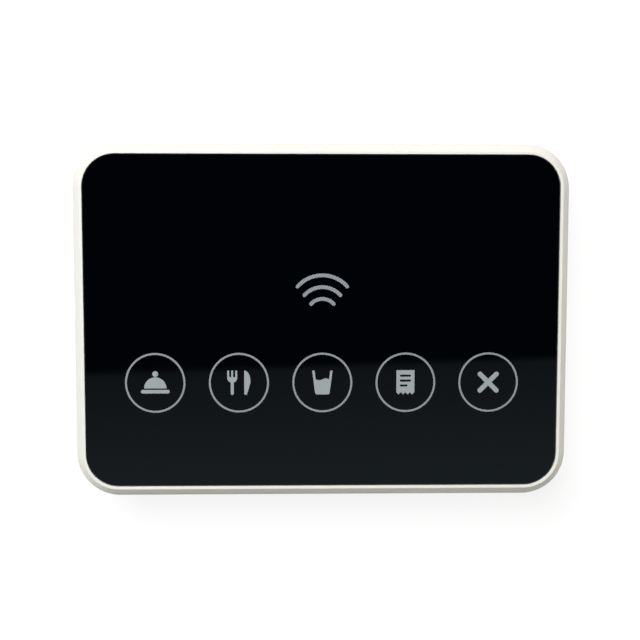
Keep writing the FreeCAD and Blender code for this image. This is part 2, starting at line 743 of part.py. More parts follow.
def make_cover_openings(body):
    """Keyholes, sound holes, and the openings for the button and the knob."""
    for name, side in (("left", -1), ("right", 1)):
        entry = sketch_at(body, name + "_keyhole_outline", "foot_proud",
                          f"{side} * hanger_spacing / 2", "board_back - hanger_drop")
        draw_circle(entry, "hanger_entry_radius")
        add_pocket(body, entry, name + "_keyhole", "floor_thickness", upwards=True)
        slot = sketch_at(body, name + "_hanger_outline", "foot_proud",
                         f"{side} * hanger_spacing / 2", "board_back - hanger_drop + hanger_slot_length / 2")
        draw_rectangle(slot, "2 * hanger_slot_radius", "hanger_slot_length")
        add_pocket(body, slot, name + "_hanger_slot", "floor_thickness", upwards=True)
        end = sketch_at(body, name + "_hanger_end_outline", "foot_proud",
                        f"{side} * hanger_spacing / 2", "board_back - hanger_drop + hanger_slot_length")
        draw_circle(end, "hanger_slot_radius")
        add_pocket(body, end, name + "_hanger_end", "floor_thickness", upwards=True)
    middle = sketch_at(body, "middle_sound_hole_outline", "foot_proud", "buzzer_x", "switch_row")
    draw_circle(middle, "sound_hole_radius")
    add_pocket(body, middle, "middle_sound_hole", "floor_thickness", upwards=True)
    for index in range(SIZES["sound_hole_count"]):
        angle = f"{index} * 360 deg / sound_hole_count"
        hole = sketch_at(body, f"sound_hole_outline_{index + 1}", "foot_proud",
                         f"buzzer_x + sound_hole_circle * cos({angle})",
                         f"switch_row + sound_hole_circle * sin({angle})")
        draw_circle(hole, "sound_hole_radius")
        add_pocket(body, hole, f"sound_hole_{index + 1}", "floor_thickness", upwards=True)
    button = sketch_at(body, "button_hole_outline", "foot_proud", "pair_x", "switch_row")
    draw_circle(button, "button_radius + button_gap")
    add_pocket(body, button, "button_hole", "floor_thickness", upwards=True)
    dish = sketch_at(body, "knob_dish_outline", "foot_proud", "power_x", "switch_row")
    draw_rectangle(dish, "knob_length + knob_travel + 2 * dish_margin", "knob_width + 2 * dish_margin")
    add_pocket(body, dish, "knob_dish", "dish_sink", upwards=True)
    slot = sketch_at(body, "knob_slot_outline", "foot_proud", "power_x", "switch_row")
    draw_rectangle(slot, "knob_length + knob_travel + 2 * knob_gap", "knob_width + 2 * knob_gap")
    add_pocket(body, slot, "knob_slot", "floor_thickness", upwards=True)


# ---- Battery door ----

def make_battery_door():
    body = doc.addObject("PartDesign::Body", "battery_door")
    middle = "door_front + door_depth / 2"
    outline = sketch_at(body, "door_outline", "foot_proud", "0", middle)
    draw_rectangle(outline, "door_width", "door_depth")
    plate = add_pad(body, outline, "door_plate", "door_thickness")
    back = value("case_depth / 2")
    back_edge = level_edges(plate, "foot_proud", lambda edge: abs(edge.CenterOfMass.y - back) < 1e-4)
    add_edge_feature(body, "Fillet", "door_back_round", plate, back_edge, "bottom_round")
    rails = sketch_at(body, "door_rail_outline", "foot_proud + rail_lift", "0", middle)
    draw_rectangle(rails, "door_width + 2 * rail_width", "door_depth")
    draw_rectangle(rails, "door_width - 2 * rail_width", "door_depth - 2 * rail_width", tag="_inside")
    add_pad(body, rails, "door_rails", "rail_thickness")
    grip = sketch_at(body, "grip_outline", "foot_proud", "0", "case_depth / 2 - grip_from_back")
    draw_rectangle(grip, "grip_length", "grip_width")
    groove = add_pocket(body, grip, "grip_groove", "grip_sink", upwards=True)
    row = add_row(body, "grip_grooves", [groove], "Y_Axis", "grip_pitch * (grip_count - 1)", "grip_count")
    row.Reversed = True
    doc.recompute()
    return body


# ---- Feet and screws ----

def make_rubber_feet():
    feet = []
    for index, (x, y) in enumerate(corner_places("foot_x", "screw_y"), start=1):
        disc = cylinder(f"foot_disc_{index}", "foot_radius", "foot_sink + foot_proud - foot_bevel",
                        x, y, "foot_bevel")
        edge = doc.addObject("Part::Cone", f"foot_edge_{index}")
        bind(edge, Radius1="foot_radius - foot_bevel", Radius2="foot_radius", Height="foot_bevel",
             at_x=x, at_y=y, at_z="0")
        feet.append(fuse(f"foot_{index}", [disc, edge]))
    return group("rubber_feet", feet)


def make_screw(name, radius, length, head_radius, head_height, x, y, seat):
    """Screw pointing up, its head under the seat, with a cross slot."""
    shank = cylinder(name + "_shank", radius, length, x, y, seat)
    head = cylinder(name + "_head", head_radius, head_height, x, y, f"{seat} - {head_height}")
    whole = fuse(name + "_blank", [shank, head])
    slots = (("x", "cross_length", "cross_width"), ("y", "cross_width", "cross_length"))
    bars = [box(f"{name}_cross_{side}", width, depth, "cross_sink", x, y, f"{seat} - {head_height}")
            for side, width, depth in slots]
    return cut(name, whole, bars)


def make_case_screws():
    return group("case_screws", [
        make_screw(f"case_screw_{index}", "screw_radius", "screw_length", "screw_head_radius",
                   "screw_head_height", x, y, "screw_seat")
        for index, (x, y) in enumerate(corner_places("screw_x", "screw_y"), start=1)])


def make_board_screws():
    return group("board_screws", [
        make_screw(f"board_screw_{index}", "board_screw_radius", "board_screw_length", "board_head_radius",
                   "board_head_height", x, f"board_y + {y}", "board_bottom")
        for index, (x, y) in enumerate(corner_places("post_x", "post_y"), start=1)])


# ---- Circuit board and what stands on it ----

def make_circuit_board():
    body = doc.addObject("PartDesign::Body", "circuit_board")
    outline = sketch_at(body, "board_outline", "board_bottom", "0", "board_y")
    draw_rounded_rectangle(outline, "board_width", "board_depth", "board_corner")
    add_pad(body, outline, "board_sheet", "board_thickness")
    holes = sketch_at(body, "board_hole_outline", "board_top", "0", "board_y")
    draw_corner_circles(holes, "post_x", "post_y", "board_screw_radius + screw_hole_gap")
    add_pocket(body, holes, "board_holes", "board_thickness")
    return body


def make_touch_springs():
    return group("touch_springs", [
        coil(f"touch_spring_{index}", "key_spring_radius", "key_spring_wire", "key_spring_turns",
             "key_spring_height", x, "key_row", "board_top")
        for index, x in enumerate(key_places(), start=1)])


def make_light(name, x, y):
    """Surface-mounted light with a shallow dish in its top."""
    body = box(name + "_block", "light_length", "light_width", "light_height", x, y, "board_top")
    dish = box(name + "_dish", "light_length - 2 * light_rim", "light_width - 2 * light_rim", "light_dish",
               x, y, "board_top + light_height - light_dish")
    return cut(name, body, [dish])


def make_key_lights():
    return group("key_lights", [make_light(f"key_light_{index}", x, "key_row")
                                for index, x in enumerate(key_places(), start=1)])


def make_signal_light():
    return make_light("signal_light", "0", "signal_y")


def make_chip(name, length, x, y, pins_per_side):
    """Flat chip on the board's top face, with a row of bent pins along each side."""
    block = box(name + "_block", length, "chip_width", "chip_height", x, y, "board_top + chip_standoff")
    solids = [block]
    for pin in range(pins_per_side):
        pin_x = f"{x} + ({pin} - {pins_per_side - 1} / 2) * pin_pitch"
        for side in (1, -1):
            pin_y = f"{y} + {side} * (chip_width + pin_reach) / 2"
            solids.append(box(f"{name}_pin_{pin}_{side + 1}", "pin_width", "pin_reach", "pin_thickness",
                              pin_x, pin_y, "board_top"))
            rise_y = f"{y} + {side} * (chip_width + pin_thickness) / 2"
            solids.append(box(f"{name}_rise_{pin}_{side + 1}", "pin_width", "pin_thickness",
                              "chip_height / 2", pin_x, rise_y, "board_top"))
    return fuse(name, solids)


def make_series_resistors():
    """Series resistors, one below each key."""
    return group("series_resistors", [
        box(f"resistor_{index}", "resistor_length", "resistor_width", "resistor_height",
            x, "resistor_y", "board_top")
        for index, x in enumerate(key_places(), start=1)])


def make_capacitor():
    base = box("capacitor_foot", "capacitor_base", "capacitor_base", "capacitor_base_height",
               "capacitor_x", "switch_row", "board_bottom - capacitor_base_height")
    can = cylinder("capacitor_can", "capacitor_radius", "capacitor_height", "capacitor_x", "switch_row",
                   "board_bottom - capacitor_base_height - capacitor_height")
    return fuse("capacitor", [base, can])


def make_buzzer():
    can = cylinder("buzzer_can", "buzzer_radius", "buzzer_height", "buzzer_x", "switch_row",
                   "board_bottom - buzzer_height")
    port = cylinder("buzzer_port", "buzzer_port_radius", "buzzer_port_depth", "buzzer_x", "switch_row",
                    "board_bottom - buzzer_height")
    return cut("buzzer", can, [port])


# ---- Radio transmitter ----

def header_places():
    """Centre of each header pin across the small board."""
    count = SIZES["header_pins"]
    return [f"radio_y + ({index} - {count - 1} / 2) * header_pitch" for index in range(count)]


def make_transmitter_board():
    sheet = box("transmitter_sheet", "radio_length", "radio_depth", "radio_thickness",
                "radio_x", "radio_y", "radio_bottom")
    holes = [cylinder(f"transmitter_hole_{index}", "header_pin_radius + header_hole_gap", "radio_thickness",
                      "header_x", y, "radio_bottom")
             for index, y in enumerate(header_places(), start=1)]
    return cut("transmitter_board", sheet, holes)


def make_transmitter_header():
    strip = box("header_strip", "header_width", "header_pins * header_pitch", "header_height",
                "header_x", "radio_y", "board_top")
    pins = [cylinder(f"header_pin_{index}", "header_pin_radius",
                     "header_height + radio_thickness + header_pin_reach", "header_x", y, "board_top")
            for index, y in enumerate(header_places(), start=1)]
    return fuse("transmitter_header", [strip] + pins)


def make_transmitter_resonator():
    return box("transmitter_resonator", "resonator_length", "resonator_width", "resonator_height",
               "radio_x + resonator_shift", "radio_y + radio_row_shift", "radio_top")


def make_transmitter_chip():
    return box("transmitter_chip", "radio_chip_side", "radio_chip_side", "radio_chip_height",
               "radio_x", "radio_y - radio_row_shift", "radio_top")


def make_aerial():
    """Bare coil that lies on the board beside the transmitter."""
    return coil("aerial_coil", "aerial_radius", "aerial_wire", "aerial_turns", "aerial_length",
                "radio_x + radio_length / 2 + board_gap",
                "radio_y - radio_depth / 2 + aerial_radius + aerial_wire",
                "board_top + aerial_radius + aerial_wire", turn=right)


# ---- Switches ----

def make_pair_switch():
    block = box("pair_switch_block", "pair_side", "pair_side", "pair_height",
                "pair_x", "switch_row", "board_bottom - pair_height")
    well = cylinder("pair_switch_well", "plunger_radius + plunger_side_gap",
                    "plunger_depth + button_travel + plunger_end_gap",
                    "pair_x", "switch_row", "board_bottom - pair_height")
    return cut("pair_switch", block, [well])


def make_pair_plunger():
    return cylinder("pair_switch_plunger", "plunger_radius", "plunger_reach + plunger_depth",
                    "pair_x", "switch_row", "plunger_bottom")


def make_pair_button():
    cap = cylinder("pair_button_cap", "button_radius", "floor_thickness - button_recess",
                   "pair_x", "switch_row", "foot_proud + button_recess")
    flange = cylinder("pair_button_flange", "flange_radius", "flange_height",
                      "pair_x", "switch_row", "floor_top")
    stem = cylinder("pair_button_stem", "plunger_radius", "plunger_bottom - floor_top",
                    "pair_x", "switch_row", "floor_top")
    return fuse("pair_button", [cap, flange, stem])


def make_power_switch():
    block = box("power_switch_block", "power_length", "power_width", "power_height",
                "power_x", "switch_row", "power_bottom")
    well = box("power_switch_well", "knob_length + knob_travel + 2 * knob_gap", "knob_width + 2 * knob_gap",
               "knob_depth + knob_gap", "power_x", "switch_row", "power_bottom")
    return cut("power_switch", block, [well])


def make_power_knob():
    return box("power_switch_knob", "knob_length", "knob_width",
               "power_bottom + knob_depth - foot_proud - knob_recess",
               "power_x - knob_travel / 2", "switch_row", "foot_proud + knob_recess")


# ---- Battery cells, contacts and leads ----

def make_battery_cells():
    """Two cells that point opposite ways, each with its nub against a contact."""
    cells = []
    reach = "bay_length / 2 - contact_thickness - contact_nib_height"
    for name, row, turn, side in (("back_cell", 1, left, 1), ("front_cell", -1, right, -1)):
        y = f"bay_y + {row} * cell_offset"
        start = f"{side} * (cell_length - ({reach}))"
        can = cylinder(name + "_can", "cell_radius", "cell_length - nub_height", start, y, "cell_axis", turn)
        nub = cylinder(name + "_nub", "nub_radius", "cell_length", start, y, "cell_axis", turn)
        cells.append(fuse(name, [can, nub]))
    return group("battery_cells", cells)


def contact_plate(name, side, y, width):
    """Upright plate against one end wall of the bay."""
    return box(name, "contact_thickness", width, "contact_side",
               f"{side} * (bay_length - contact_thickness) / 2", y, "cell_axis - contact_side / 2")


def contact_nib(name, side, y, turn):
    return cylinder(name, "contact_nib_radius", "contact_nib_height",
                    f"{side} * (bay_length / 2 - contact_thickness)", y, "cell_axis", turn)


def contact_spring(name, side, y, turn):
    return coil(name, "contact_spring_radius", "contact_spring_wire", "contact_spring_turns",
                "contact_spring_length", f"{side} * (bay_length / 2 - contact_thickness)", y, "cell_axis",
                turn)


def contact_tab(name, y):
    """Solder tab through the bay's left wall, level with the leads."""
    return box(name, "bay_wall + tab_reach", "tab_width", "contact_thickness",
               "-(bay_length + bay_wall + tab_reach) / 2", y,
               "board_top + lead_radius - contact_thickness / 2")


def make_contacts():
    back, front = "bay_y + cell_offset", "bay_y - cell_offset"
    positive = fuse("positive_contact", [contact_plate("positive_plate", -1, back, "contact_side"),
                                         contact_nib("positive_nib", -1, back, right),
                                         contact_tab("positive_tab", back)])
    plate = fuse("negative_plate_and_tab", [contact_plate("negative_plate", -1, front, "contact_side"),
                                            contact_tab("negative_tab", front)])
    negative = group("negative_contact", [plate, contact_spring("negative_spring", -1, front, right)])
    bridge = fuse("bridge_plate_and_nib", [
        contact_plate("bridge_plate", 1, "bay_y", "contact_side + 2 * cell_offset"),
        contact_nib("bridge_nib", 1, front, left)])
    both = group("bridge_contact", [bridge, contact_spring("bridge_spring", 1, back, left)])
    return [positive, negative, both]


def make_lead(name, y, exit_length):
    """Lead from a contact tab, round one bend, to its pad on the board."""
    tab_end = "-(bay_length / 2 + bay_wall + tab_reach)"
    level = "board_top + lead_radius"
    first = cylinder(name + "_exit", "lead_radius", exit_length, tab_end, y, level, left)
    bend = doc.addObject("Part::Torus", name + "_bend")
    bend.Angle3 = 90
    bend.Placement.Rotation = FreeCAD.Rotation(up, 90)
    bind(bend, Radius1="lead_bend", Radius2="lead_radius", at_x=f"{tab_end} - ({exit_length})",
         at_y=f"{y} - lead_bend", at_z=level)
    towards_front = FreeCAD.Rotation(FreeCAD.Vector(1, 0, 0), 90)
    last = cylinder(name + "_run", "lead_radius", f"{y} - lead_bend - board_back + lead_landing",
                    f"{tab_end} - ({exit_length}) - lead_bend", f"{y} - lead_bend", level, towards_front)
    return fuse(name, [first, bend, last])


pieces = [
    make_front_panel(),
    make_panel_adhesive(),
    make_key_rings(),
    make_signal_mark(),
    make_front_case(),
    make_rear_cover(),
    make_battery_door(),
    make_rubber_feet(),
    make_case_screws(),
    make_circuit_board(),
    make_board_screws(),
    make_touch_springs(),
    make_key_lights(),
    make_signal_light(),
    make_chip("touch_chip", "touch_chip_length", "0", "resistor_y - touch_chip_drop",
              SIZES["touch_chip_pins"]),
    make_chip("control_chip", "control_chip_length", "control_chip_x", "signal_y",
              SIZES["control_chip_pins"]),
    make_series_resistors(),
    make_capacitor(),
    make_buzzer(),
    make_transmitter_board(),
    make_transmitter_header(),
    make_transmitter_resonator(),
    make_transmitter_chip(),
    make_aerial(),
    make_pair_switch(),
    make_pair_plunger(),
    make_pair_button(),
    make_power_switch(),
    make_power_knob(),
    make_battery_cells(),
    *make_contacts(),
    make_lead("positive_lead", "bay_y + cell_offset", "lead_exit + lead_spacing"),
    make_lead("negative_lead", "bay_y - cell_offset", "lead_exit"),
]

doc.recompute()
failed = [item.Label for item in doc.Objects if "Invalid" in item.State or "Error" in item.State]
failed += [piece.Label for piece in pieces if piece.Shape.isNull() or not piece.Shape.isValid()]
if failed:
    raise RuntimeError("not built: " + ", ".join(failed))

os.makedirs("parts", exist_ok=True)
for piece in pieces:
    piece.Shape.exportStep(f"parts/{piece.Label}.step")
    print(piece.Label, len(piece.Shape.Solids), round(piece.Shape.Volume, 1))
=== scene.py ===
import math

import bmesh
import bpy
from mathutils import Euler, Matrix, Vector
from mathutils.geometry import tessellate_polygon


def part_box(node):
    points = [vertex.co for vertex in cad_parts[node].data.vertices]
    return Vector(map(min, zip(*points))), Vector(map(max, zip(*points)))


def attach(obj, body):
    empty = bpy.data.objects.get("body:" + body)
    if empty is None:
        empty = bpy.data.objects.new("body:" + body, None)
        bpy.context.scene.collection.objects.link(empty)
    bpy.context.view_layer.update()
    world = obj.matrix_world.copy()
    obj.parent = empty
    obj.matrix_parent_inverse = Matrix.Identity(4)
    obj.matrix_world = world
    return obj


# Wireless waiter call button: glossy touch panel in a white case, lying flat on its feet.
# Lengths are metres. Print is drawn in millimetres and scaled by mm.
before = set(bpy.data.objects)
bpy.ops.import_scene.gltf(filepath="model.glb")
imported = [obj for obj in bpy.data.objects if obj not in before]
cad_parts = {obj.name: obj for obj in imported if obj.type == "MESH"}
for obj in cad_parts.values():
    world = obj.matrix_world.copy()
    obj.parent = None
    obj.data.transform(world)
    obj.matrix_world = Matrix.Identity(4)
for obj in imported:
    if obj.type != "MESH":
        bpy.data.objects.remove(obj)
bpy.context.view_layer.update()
mm = 0.001
print("frame loaded:", len(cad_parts), "nodes")


# small tools for node trees

def paint(red, green, blue):
    # 0-255 display colour to the linear one that shaders take
    def linear(level):
        share = level / 255
        return share / 12.92 if share <= 0.04045 else ((share + 0.055) / 1.055) ** 2.4
    return (linear(red), linear(green), linear(blue), 1.0)


def feed(tree, node, feeds):
    # each socket gets a value, or a link from another node's output
    for socket, source in (feeds or {}).items():
        if isinstance(source, bpy.types.NodeSocket):
            tree.links.new(source, node.inputs[socket])
        else:
            node.inputs[socket].default_value = source
    return node


def addNode(tree, kind, feeds=None, **settings):
    node = tree.nodes.new("ShaderNode" + kind)
    for name, choice in settings.items():
        setattr(node, name, choice)
    return feed(tree, node, feeds)


def compute(tree, operation, *terms):
    return addNode(tree, "Math", dict(enumerate(terms)), operation=operation).outputs[0]


def plus(tree, first, second):
    return compute(tree, "ADD", first, second)


def minus(tree, first, second):
    return compute(tree, "SUBTRACT", first, second)


def times(tree, first, second):
    return compute(tree, "MULTIPLY", first, second)


def sizeOf(tree, value):
    return compute(tree, "ABSOLUTE", value)


def mixColour(tree, share, first, second):
    feeds = {0: share, 6: first, 7: second}
    return addNode(tree, "Mix", feeds, data_type="RGBA").outputs[2]


def ease(tree, value, low, high, toLow=0.0, toHigh=1.0):
    feeds = {"Value": value, 1: low, 2: high, 3: toLow, 4: toHigh}
    return addNode(tree, "MapRange", feeds, interpolation_type="SMOOTHSTEP").outputs[0]


def brighten(tree, colour, gain):
    return addNode(tree, "VectorMath", {0: colour, "Scale": gain}, operation="SCALE").outputs[0]


def spot(tree):
    # where a point is on the part, in metres
    return addNode(tree, "TexCoord").outputs["Object"]


def axes(tree, vector=None):
    node = addNode(tree, "SeparateXYZ", {0: vector or spot(tree)})
    return node.outputs[0], node.outputs[1], node.outputs[2]


def cloud(tree, size, detail=2.0, roughness=0.5, stretch=(1, 1, 1)):
    # soft noise whose blotches are about size across
    placed = addNode(tree, "VectorMath", {0: spot(tree), 1: stretch}, operation="MULTIPLY")
    feeds = {"Vector": placed.outputs[0], "Scale": compute(tree, "DIVIDE", 1.0, size),
             "Detail": detail, "Roughness": roughness}
    return addNode(tree, "TexNoise", feeds).outputs[0]


def fromNearest(tree, value, pitch):
    # signed distance to the nearest of evenly spaced pieces, one of which is at zero
    phase = compute(tree, "FRACT", plus(tree, compute(tree, "DIVIDE", value, pitch), 0.5))
    return times(tree, minus(tree, phase, 0.5), pitch)


def newGroup(name, inputs, outputs):
    group = bpy.data.node_groups.new(name, "ShaderNodeTree")
    for label, (kind, start) in inputs.items():
        socket = group.interface.new_socket(
            name=label, in_out="INPUT", socket_type="NodeSocket" + kind)
        socket.default_value = start
    for label, kind in outputs.items():
        group.interface.new_socket(
            name=label, in_out="OUTPUT", socket_type="NodeSocket" + kind)
    given, out = group.nodes.new("NodeGroupInput"), group.nodes.new("NodeGroupOutput")
    return group, given.outputs, out


def place(tree, group, feeds=None):
    node = tree.nodes.new("ShaderNodeGroup")
    node.node_tree = group
    return feed(tree, node, feeds).outputs


# effects that several finishes share

grainMix = {"coarser": 4.0, "fineShare": 0.7, "fineRoughness": 0.6,
            "maskFrom": 0.35, "maskTo": 0.65}


def makeFineGrain(look):
    # spark-eroded tool texture: two sizes of grain, as a height and as a mask
    group, given, out = newGroup(
        "fineGrain", {"Size": ("Float", 0.0002)}, {"Height": "Float", "Mask": "Float"})
    fine = cloud(group, given["Size"], detail=3.0, roughness=look["fineRoughness"])
    coarse = cloud(group, times(group, given["Size"], look["coarser"]))
    height = plus(group, times(group, fine, look["fineShare"]),
                  times(group, coarse, 1.0 - look["fineShare"]))
    mask = ease(group, height, look["maskFrom"], look["maskTo"])
    feed(group, out, {"Height": height, "Mask": mask})
    return group


def makeToneDrift():
    # slow change of shade over a surface
    group, given, out = newGroup(
        "toneDrift",
        {"Colour": ("Color", (1, 1, 1, 1)), "Size": ("Float", 0.02), "Drift": ("Float", 0.05)},
        {"Colour": "Color"})
    wave = minus(group, cloud(group, given["Size"], detail=3.0), 0.5)
    gain = plus(group, 1.0, times(group, wave, given["Drift"]))
    feed(group, out, {"Colour": brighten(group, given["Colour"], gain)})
    return group


edgeRub = {"samples": 4, "wearFrom": 0.99, "wearTo": 0.86, "patchFrom": 0.42, "patchTo": 0.62,
           "patchDetail": 4.0, "patchRoughness": 0.65}


def makeRoundedEdge(look):
    # small moulded radius on sharp edges, and where hands rub them
    group, given, out = newGroup(
        "roundedEdge", {"Radius": ("Float", 0.0001), "Breakup": ("Float", 0.002)},
        {"Normal": "Vector", "Wear": "Float"})
    rounded = addNode(group, "Bevel", {"Radius": given["Radius"]}, samples=look["samples"])
    flat = addNode(group, "NewGeometry").outputs["Normal"]
    agree = addNode(group, "VectorMath", {0: rounded.outputs[0], 1: flat},
                    operation="DOT_PRODUCT").outputs["Value"]
    edge = ease(group, agree, look["wearFrom"], look["wearTo"])
    patches = cloud(group, given["Breakup"], look["patchDetail"], look["patchRoughness"])
    rubbed = ease(group, patches, look["patchFrom"], look["patchTo"])
    feed(group, out, {"Normal": rounded.outputs[0], "Wear": times(group, edge, rubbed)})
    return group


dustFall = {"speck": 0.028, "levelFrom": 0.3, "levelTo": 0.8}


def makeSettledDust(look):
    # specks that lie on upward faces: few, small and of different sizes
    group, given, out = newGroup(
        "settledDust", {"Spacing": ("Float", 0.003), "Share": ("Float", 0.3)}, {"Mask": "Float"})
    scale = compute(group, "DIVIDE", 1.0, given["Spacing"])
    cells = addNode(group, "TexVoronoi", {"Vector": spot(group), "Scale": scale})
    draw = addNode(group, "SeparateColor", {0: cells.outputs["Color"]})
    reach = times(group, draw.outputs[1], look["speck"])
    inside = compute(group, "LESS_THAN", cells.outputs["Distance"], reach)
    chosen = compute(group, "LESS_THAN", draw.outputs[0], given["Share"])
    facing = axes(group, addNode(group, "NewGeometry").outputs["Normal"])[2]
    upward = ease(group, facing, look["levelFrom"], look["levelTo"])
    feed(group, out, {"Mask": times(group, times(group, inside, chosen), upward)})
    return group


fingerSmear = {
    "smearStretch": (1.0, 0.45, 1.0), "patchFrom": 0.52, "patchTo": 0.72,
    "ridgeSize": 0.0007, "ridgeStretch": (0.3, 1.0, 1.0), "ridgeFrom": 0.3, "ridgeTo": 0.7,
    "ridgeLeast": 0.55,
}


def makeHandMarks(look):
    # faint smears that fingers leave on gloss
    group, given, out = newGroup("handMarks", {"Size": ("Float", 0.012)}, {"Mask": "Float"})
    smear = cloud(group, given["Size"], stretch=look["smearStretch"])
    ridges = cloud(group, look["ridgeSize"], detail=1.0, stretch=look["ridgeStretch"])
    patch = ease(group, smear, look["patchFrom"], look["patchTo"])
    lined = ease(group, ridges, look["ridgeFrom"], look["ridgeTo"], look["ridgeLeast"], 1.0)
    feed(group, out, {"Mask": times(group, patch, lined)})
    return group


rolling = {"lineStretch": (0.04, 1.0, 1.0), "lineDetail": 3.0, "lineRoughness": 0.7,
           "stainTimes": 20.0, "stainFrom": 0.4, "stainTo": 0.7}


def makeDrawnLines(look):
    # fine lines that rolling or drawing leaves in metal, along X
    group, given, out = newGroup(
        "drawnLines", {"Size": ("Float", 0.0001)}, {"Height": "Float", "Mask": "Float"})
    lines = cloud(group, given["Size"], look["lineDetail"], look["lineRoughness"],
                  look["lineStretch"])
    stains = cloud(group, times(group, given["Size"], look["stainTimes"]), detail=3.0)
    mask = ease(group, stains, look["stainFrom"], look["stainTo"])
    feed(group, out, {"Height": lines, "Mask": mask})
    return group


fineGrain = makeFineGrain(grainMix)
toneDrift = makeToneDrift()
roundedEdge = makeRoundedEdge(edgeRub)
settledDust = makeSettledDust(dustFall)
handMarks = makeHandMarks(fingerSmear)
drawnLines = makeDrawnLines(rolling)
print("shared effects ready")


# finishes

def newFinish(name, steady=None):
    # a material whose steady values sit on the shader's own sockets
    material = bpy.data.materials.new(name)
    material.use_nodes = True
    tree = material.node_tree
    tree.nodes.clear()
    surface = addNode(tree, "BsdfPrincipled", steady)
    addNode(tree, "OutputMaterial", {"Surface": surface.outputs[0]})
    return material, tree, surface


def relief(tree, height, depth, normal=None):
    feeds = {"Height": height, "Distance": depth, "Strength": 1.0}
    if normal is not None:
        feeds["Normal"] = normal
    return addNode(tree, "Bump", feeds).outputs[0]


def toned(tree, colour, size, drift):
    feeds = {"Colour": colour, "Size": size, "Drift": drift}
    return place(tree, toneDrift, feeds)["Colour"]


dustColour = paint(150, 147, 140)
plasticSkin = {"ior": 1.5, "rubSize": 0.003, "driftSize": 0.03, "dustSpacing": 0.0035,
               "dustTone": 0.6, "markSize": 0.014, "grainRoughness": 0.08, "markPolish": 0.05}


def mouldedPlastic(name, look):
    skin = plasticSkin
    material, tree, surface = newFinish(name, {"IOR": skin["ior"]})
    grain = place(tree, fineGrain, {"Size": look["grain"]})
    edge = place(tree, roundedEdge, {"Radius": look["edge"], "Breakup": skin["rubSize"]})
    tone = toned(tree, look["colour"], skin["driftSize"], look["drift"])
    worn = mixColour(tree, times(tree, edge["Wear"], look["wear"]), tone, look["wornColour"])
    dust = place(tree, settledDust, {"Spacing": skin["dustSpacing"], "Share": look["dust"]})
    base = mixColour(tree, times(tree, dust["Mask"], skin["dustTone"]), worn, dustColour)
    marks = place(tree, handMarks, {"Size": skin["markSize"]})["Mask"]
    rough = plus(tree, look["roughness"], times(tree, grain["Mask"], skin["grainRoughness"]))
    rough = minus(tree, rough, times(tree, marks, skin["markPolish"]))
    feed(tree, surface, {"Base Color": base, "Roughness": rough,
                         "Normal": relief(tree, grain["Height"], look["depth"], edge["Normal"])})
    return material


plastics = {
    "caseWhite": {
        "colour": paint(241, 241, 235), "wornColour": paint(247, 247, 244), "drift": 0.02,
        "roughness": 0.36, "grain": 0.00016, "depth": 0.000004, "edge": 0.00012,
        "wear": 0.25, "dust": 0.05},
    "coverWhite": {
        "colour": paint(238, 238, 231), "wornColour": paint(245, 245, 241), "drift": 0.03,
        "roughness": 0.44, "grain": 0.00022, "depth": 0.000012, "edge": 0.00015,
        "wear": 0.3, "dust": 0.05},
    "doorWhite": {
        "colour": paint(239, 239, 231), "wornColour": paint(247, 247, 243), "drift": 0.03,
        "roughness": 0.44, "grain": 0.00022, "depth": 0.000012, "edge": 0.00015,
        "wear": 0.6, "dust": 0.05},
    "buzzerBlack": {
        "colour": paint(28, 28, 30), "wornColour": paint(62, 62, 64), "drift": 0.15,
        "roughness": 0.5, "grain": 0.00025, "depth": 0.00001, "edge": 0.00012,
        "wear": 0.3, "dust": 0.3},
    "switchBlack": {
        "colour": paint(30, 30, 31), "wornColour": paint(66, 66, 68), "drift": 0.12,
        "roughness": 0.42, "grain": 0.0002, "depth": 0.000006, "edge": 0.0001,
        "wear": 0.3, "dust": 0.2},
    "plungerBlack": {
        "colour": paint(38, 38, 39), "wornColour": paint(70, 70, 72), "drift": 0.12,
        "roughness": 0.38, "grain": 0.0002, "depth": 0.000006, "edge": 0.0001,
        "wear": 0.3, "dust": 0.2},
    "knobBlack": {
        "colour": paint(32, 32, 33), "wornColour": paint(74, 74, 76), "drift": 0.12,
        "roughness": 0.4, "grain": 0.00018, "depth": 0.000008, "edge": 0.00008,
        "wear": 0.7, "dust": 0.1},
    "buttonGrey": {
        "colour": paint(172, 174, 176), "wornColour": paint(190, 192, 194), "drift": 0.06,
        "roughness": 0.5, "grain": 0.0002, "depth": 0.000008, "edge": 0.0001,
        "wear": 0.5, "dust": 0.1},
}


def panelGlass(name, look):
    # black print under clear polished acrylic
    material, tree, surface = newFinish(name, {"IOR": look["ior"]})
    ink = toned(tree, look["colour"], look["driftSize"], look["drift"])
    dust = place(tree, settledDust, {"Spacing": look["dustSpacing"], "Share": look["dustShare"]})
    marks = place(tree, handMarks, {"Size": look["markSize"]})["Mask"]
    rough = plus(tree, look["roughness"], times(tree, marks, look["smear"]))
    rough = plus(tree, rough, times(tree, dust["Mask"], look["dustRoughness"]))
    dusty = mixColour(tree, times(tree, dust["Mask"], look["dustTone"]), ink, dustColour)
    feed(tree, surface, {"Base Color": dusty, "Roughness": rough})
    return material


panelLook = {
    "colour": (0.0005, 0.0008, 0.0019, 1.0), "driftSize": 0.05, "drift": 0.3, "ior": 1.49,
    "roughness": 0.02, "markSize": 0.02, "smear": 0.035,
    "dustSpacing": 0.006, "dustShare": 0.12, "dustTone": 0.2, "dustRoughness": 0.5,
}

inkFilm = {"ridgeFrom": 0.08, "ridgeTo": 0.36, "driftSize": 0.003, "drift": 0.12,
           "grain": 0.00012, "grainRoughness": 0.1, "depth": 0.000003}


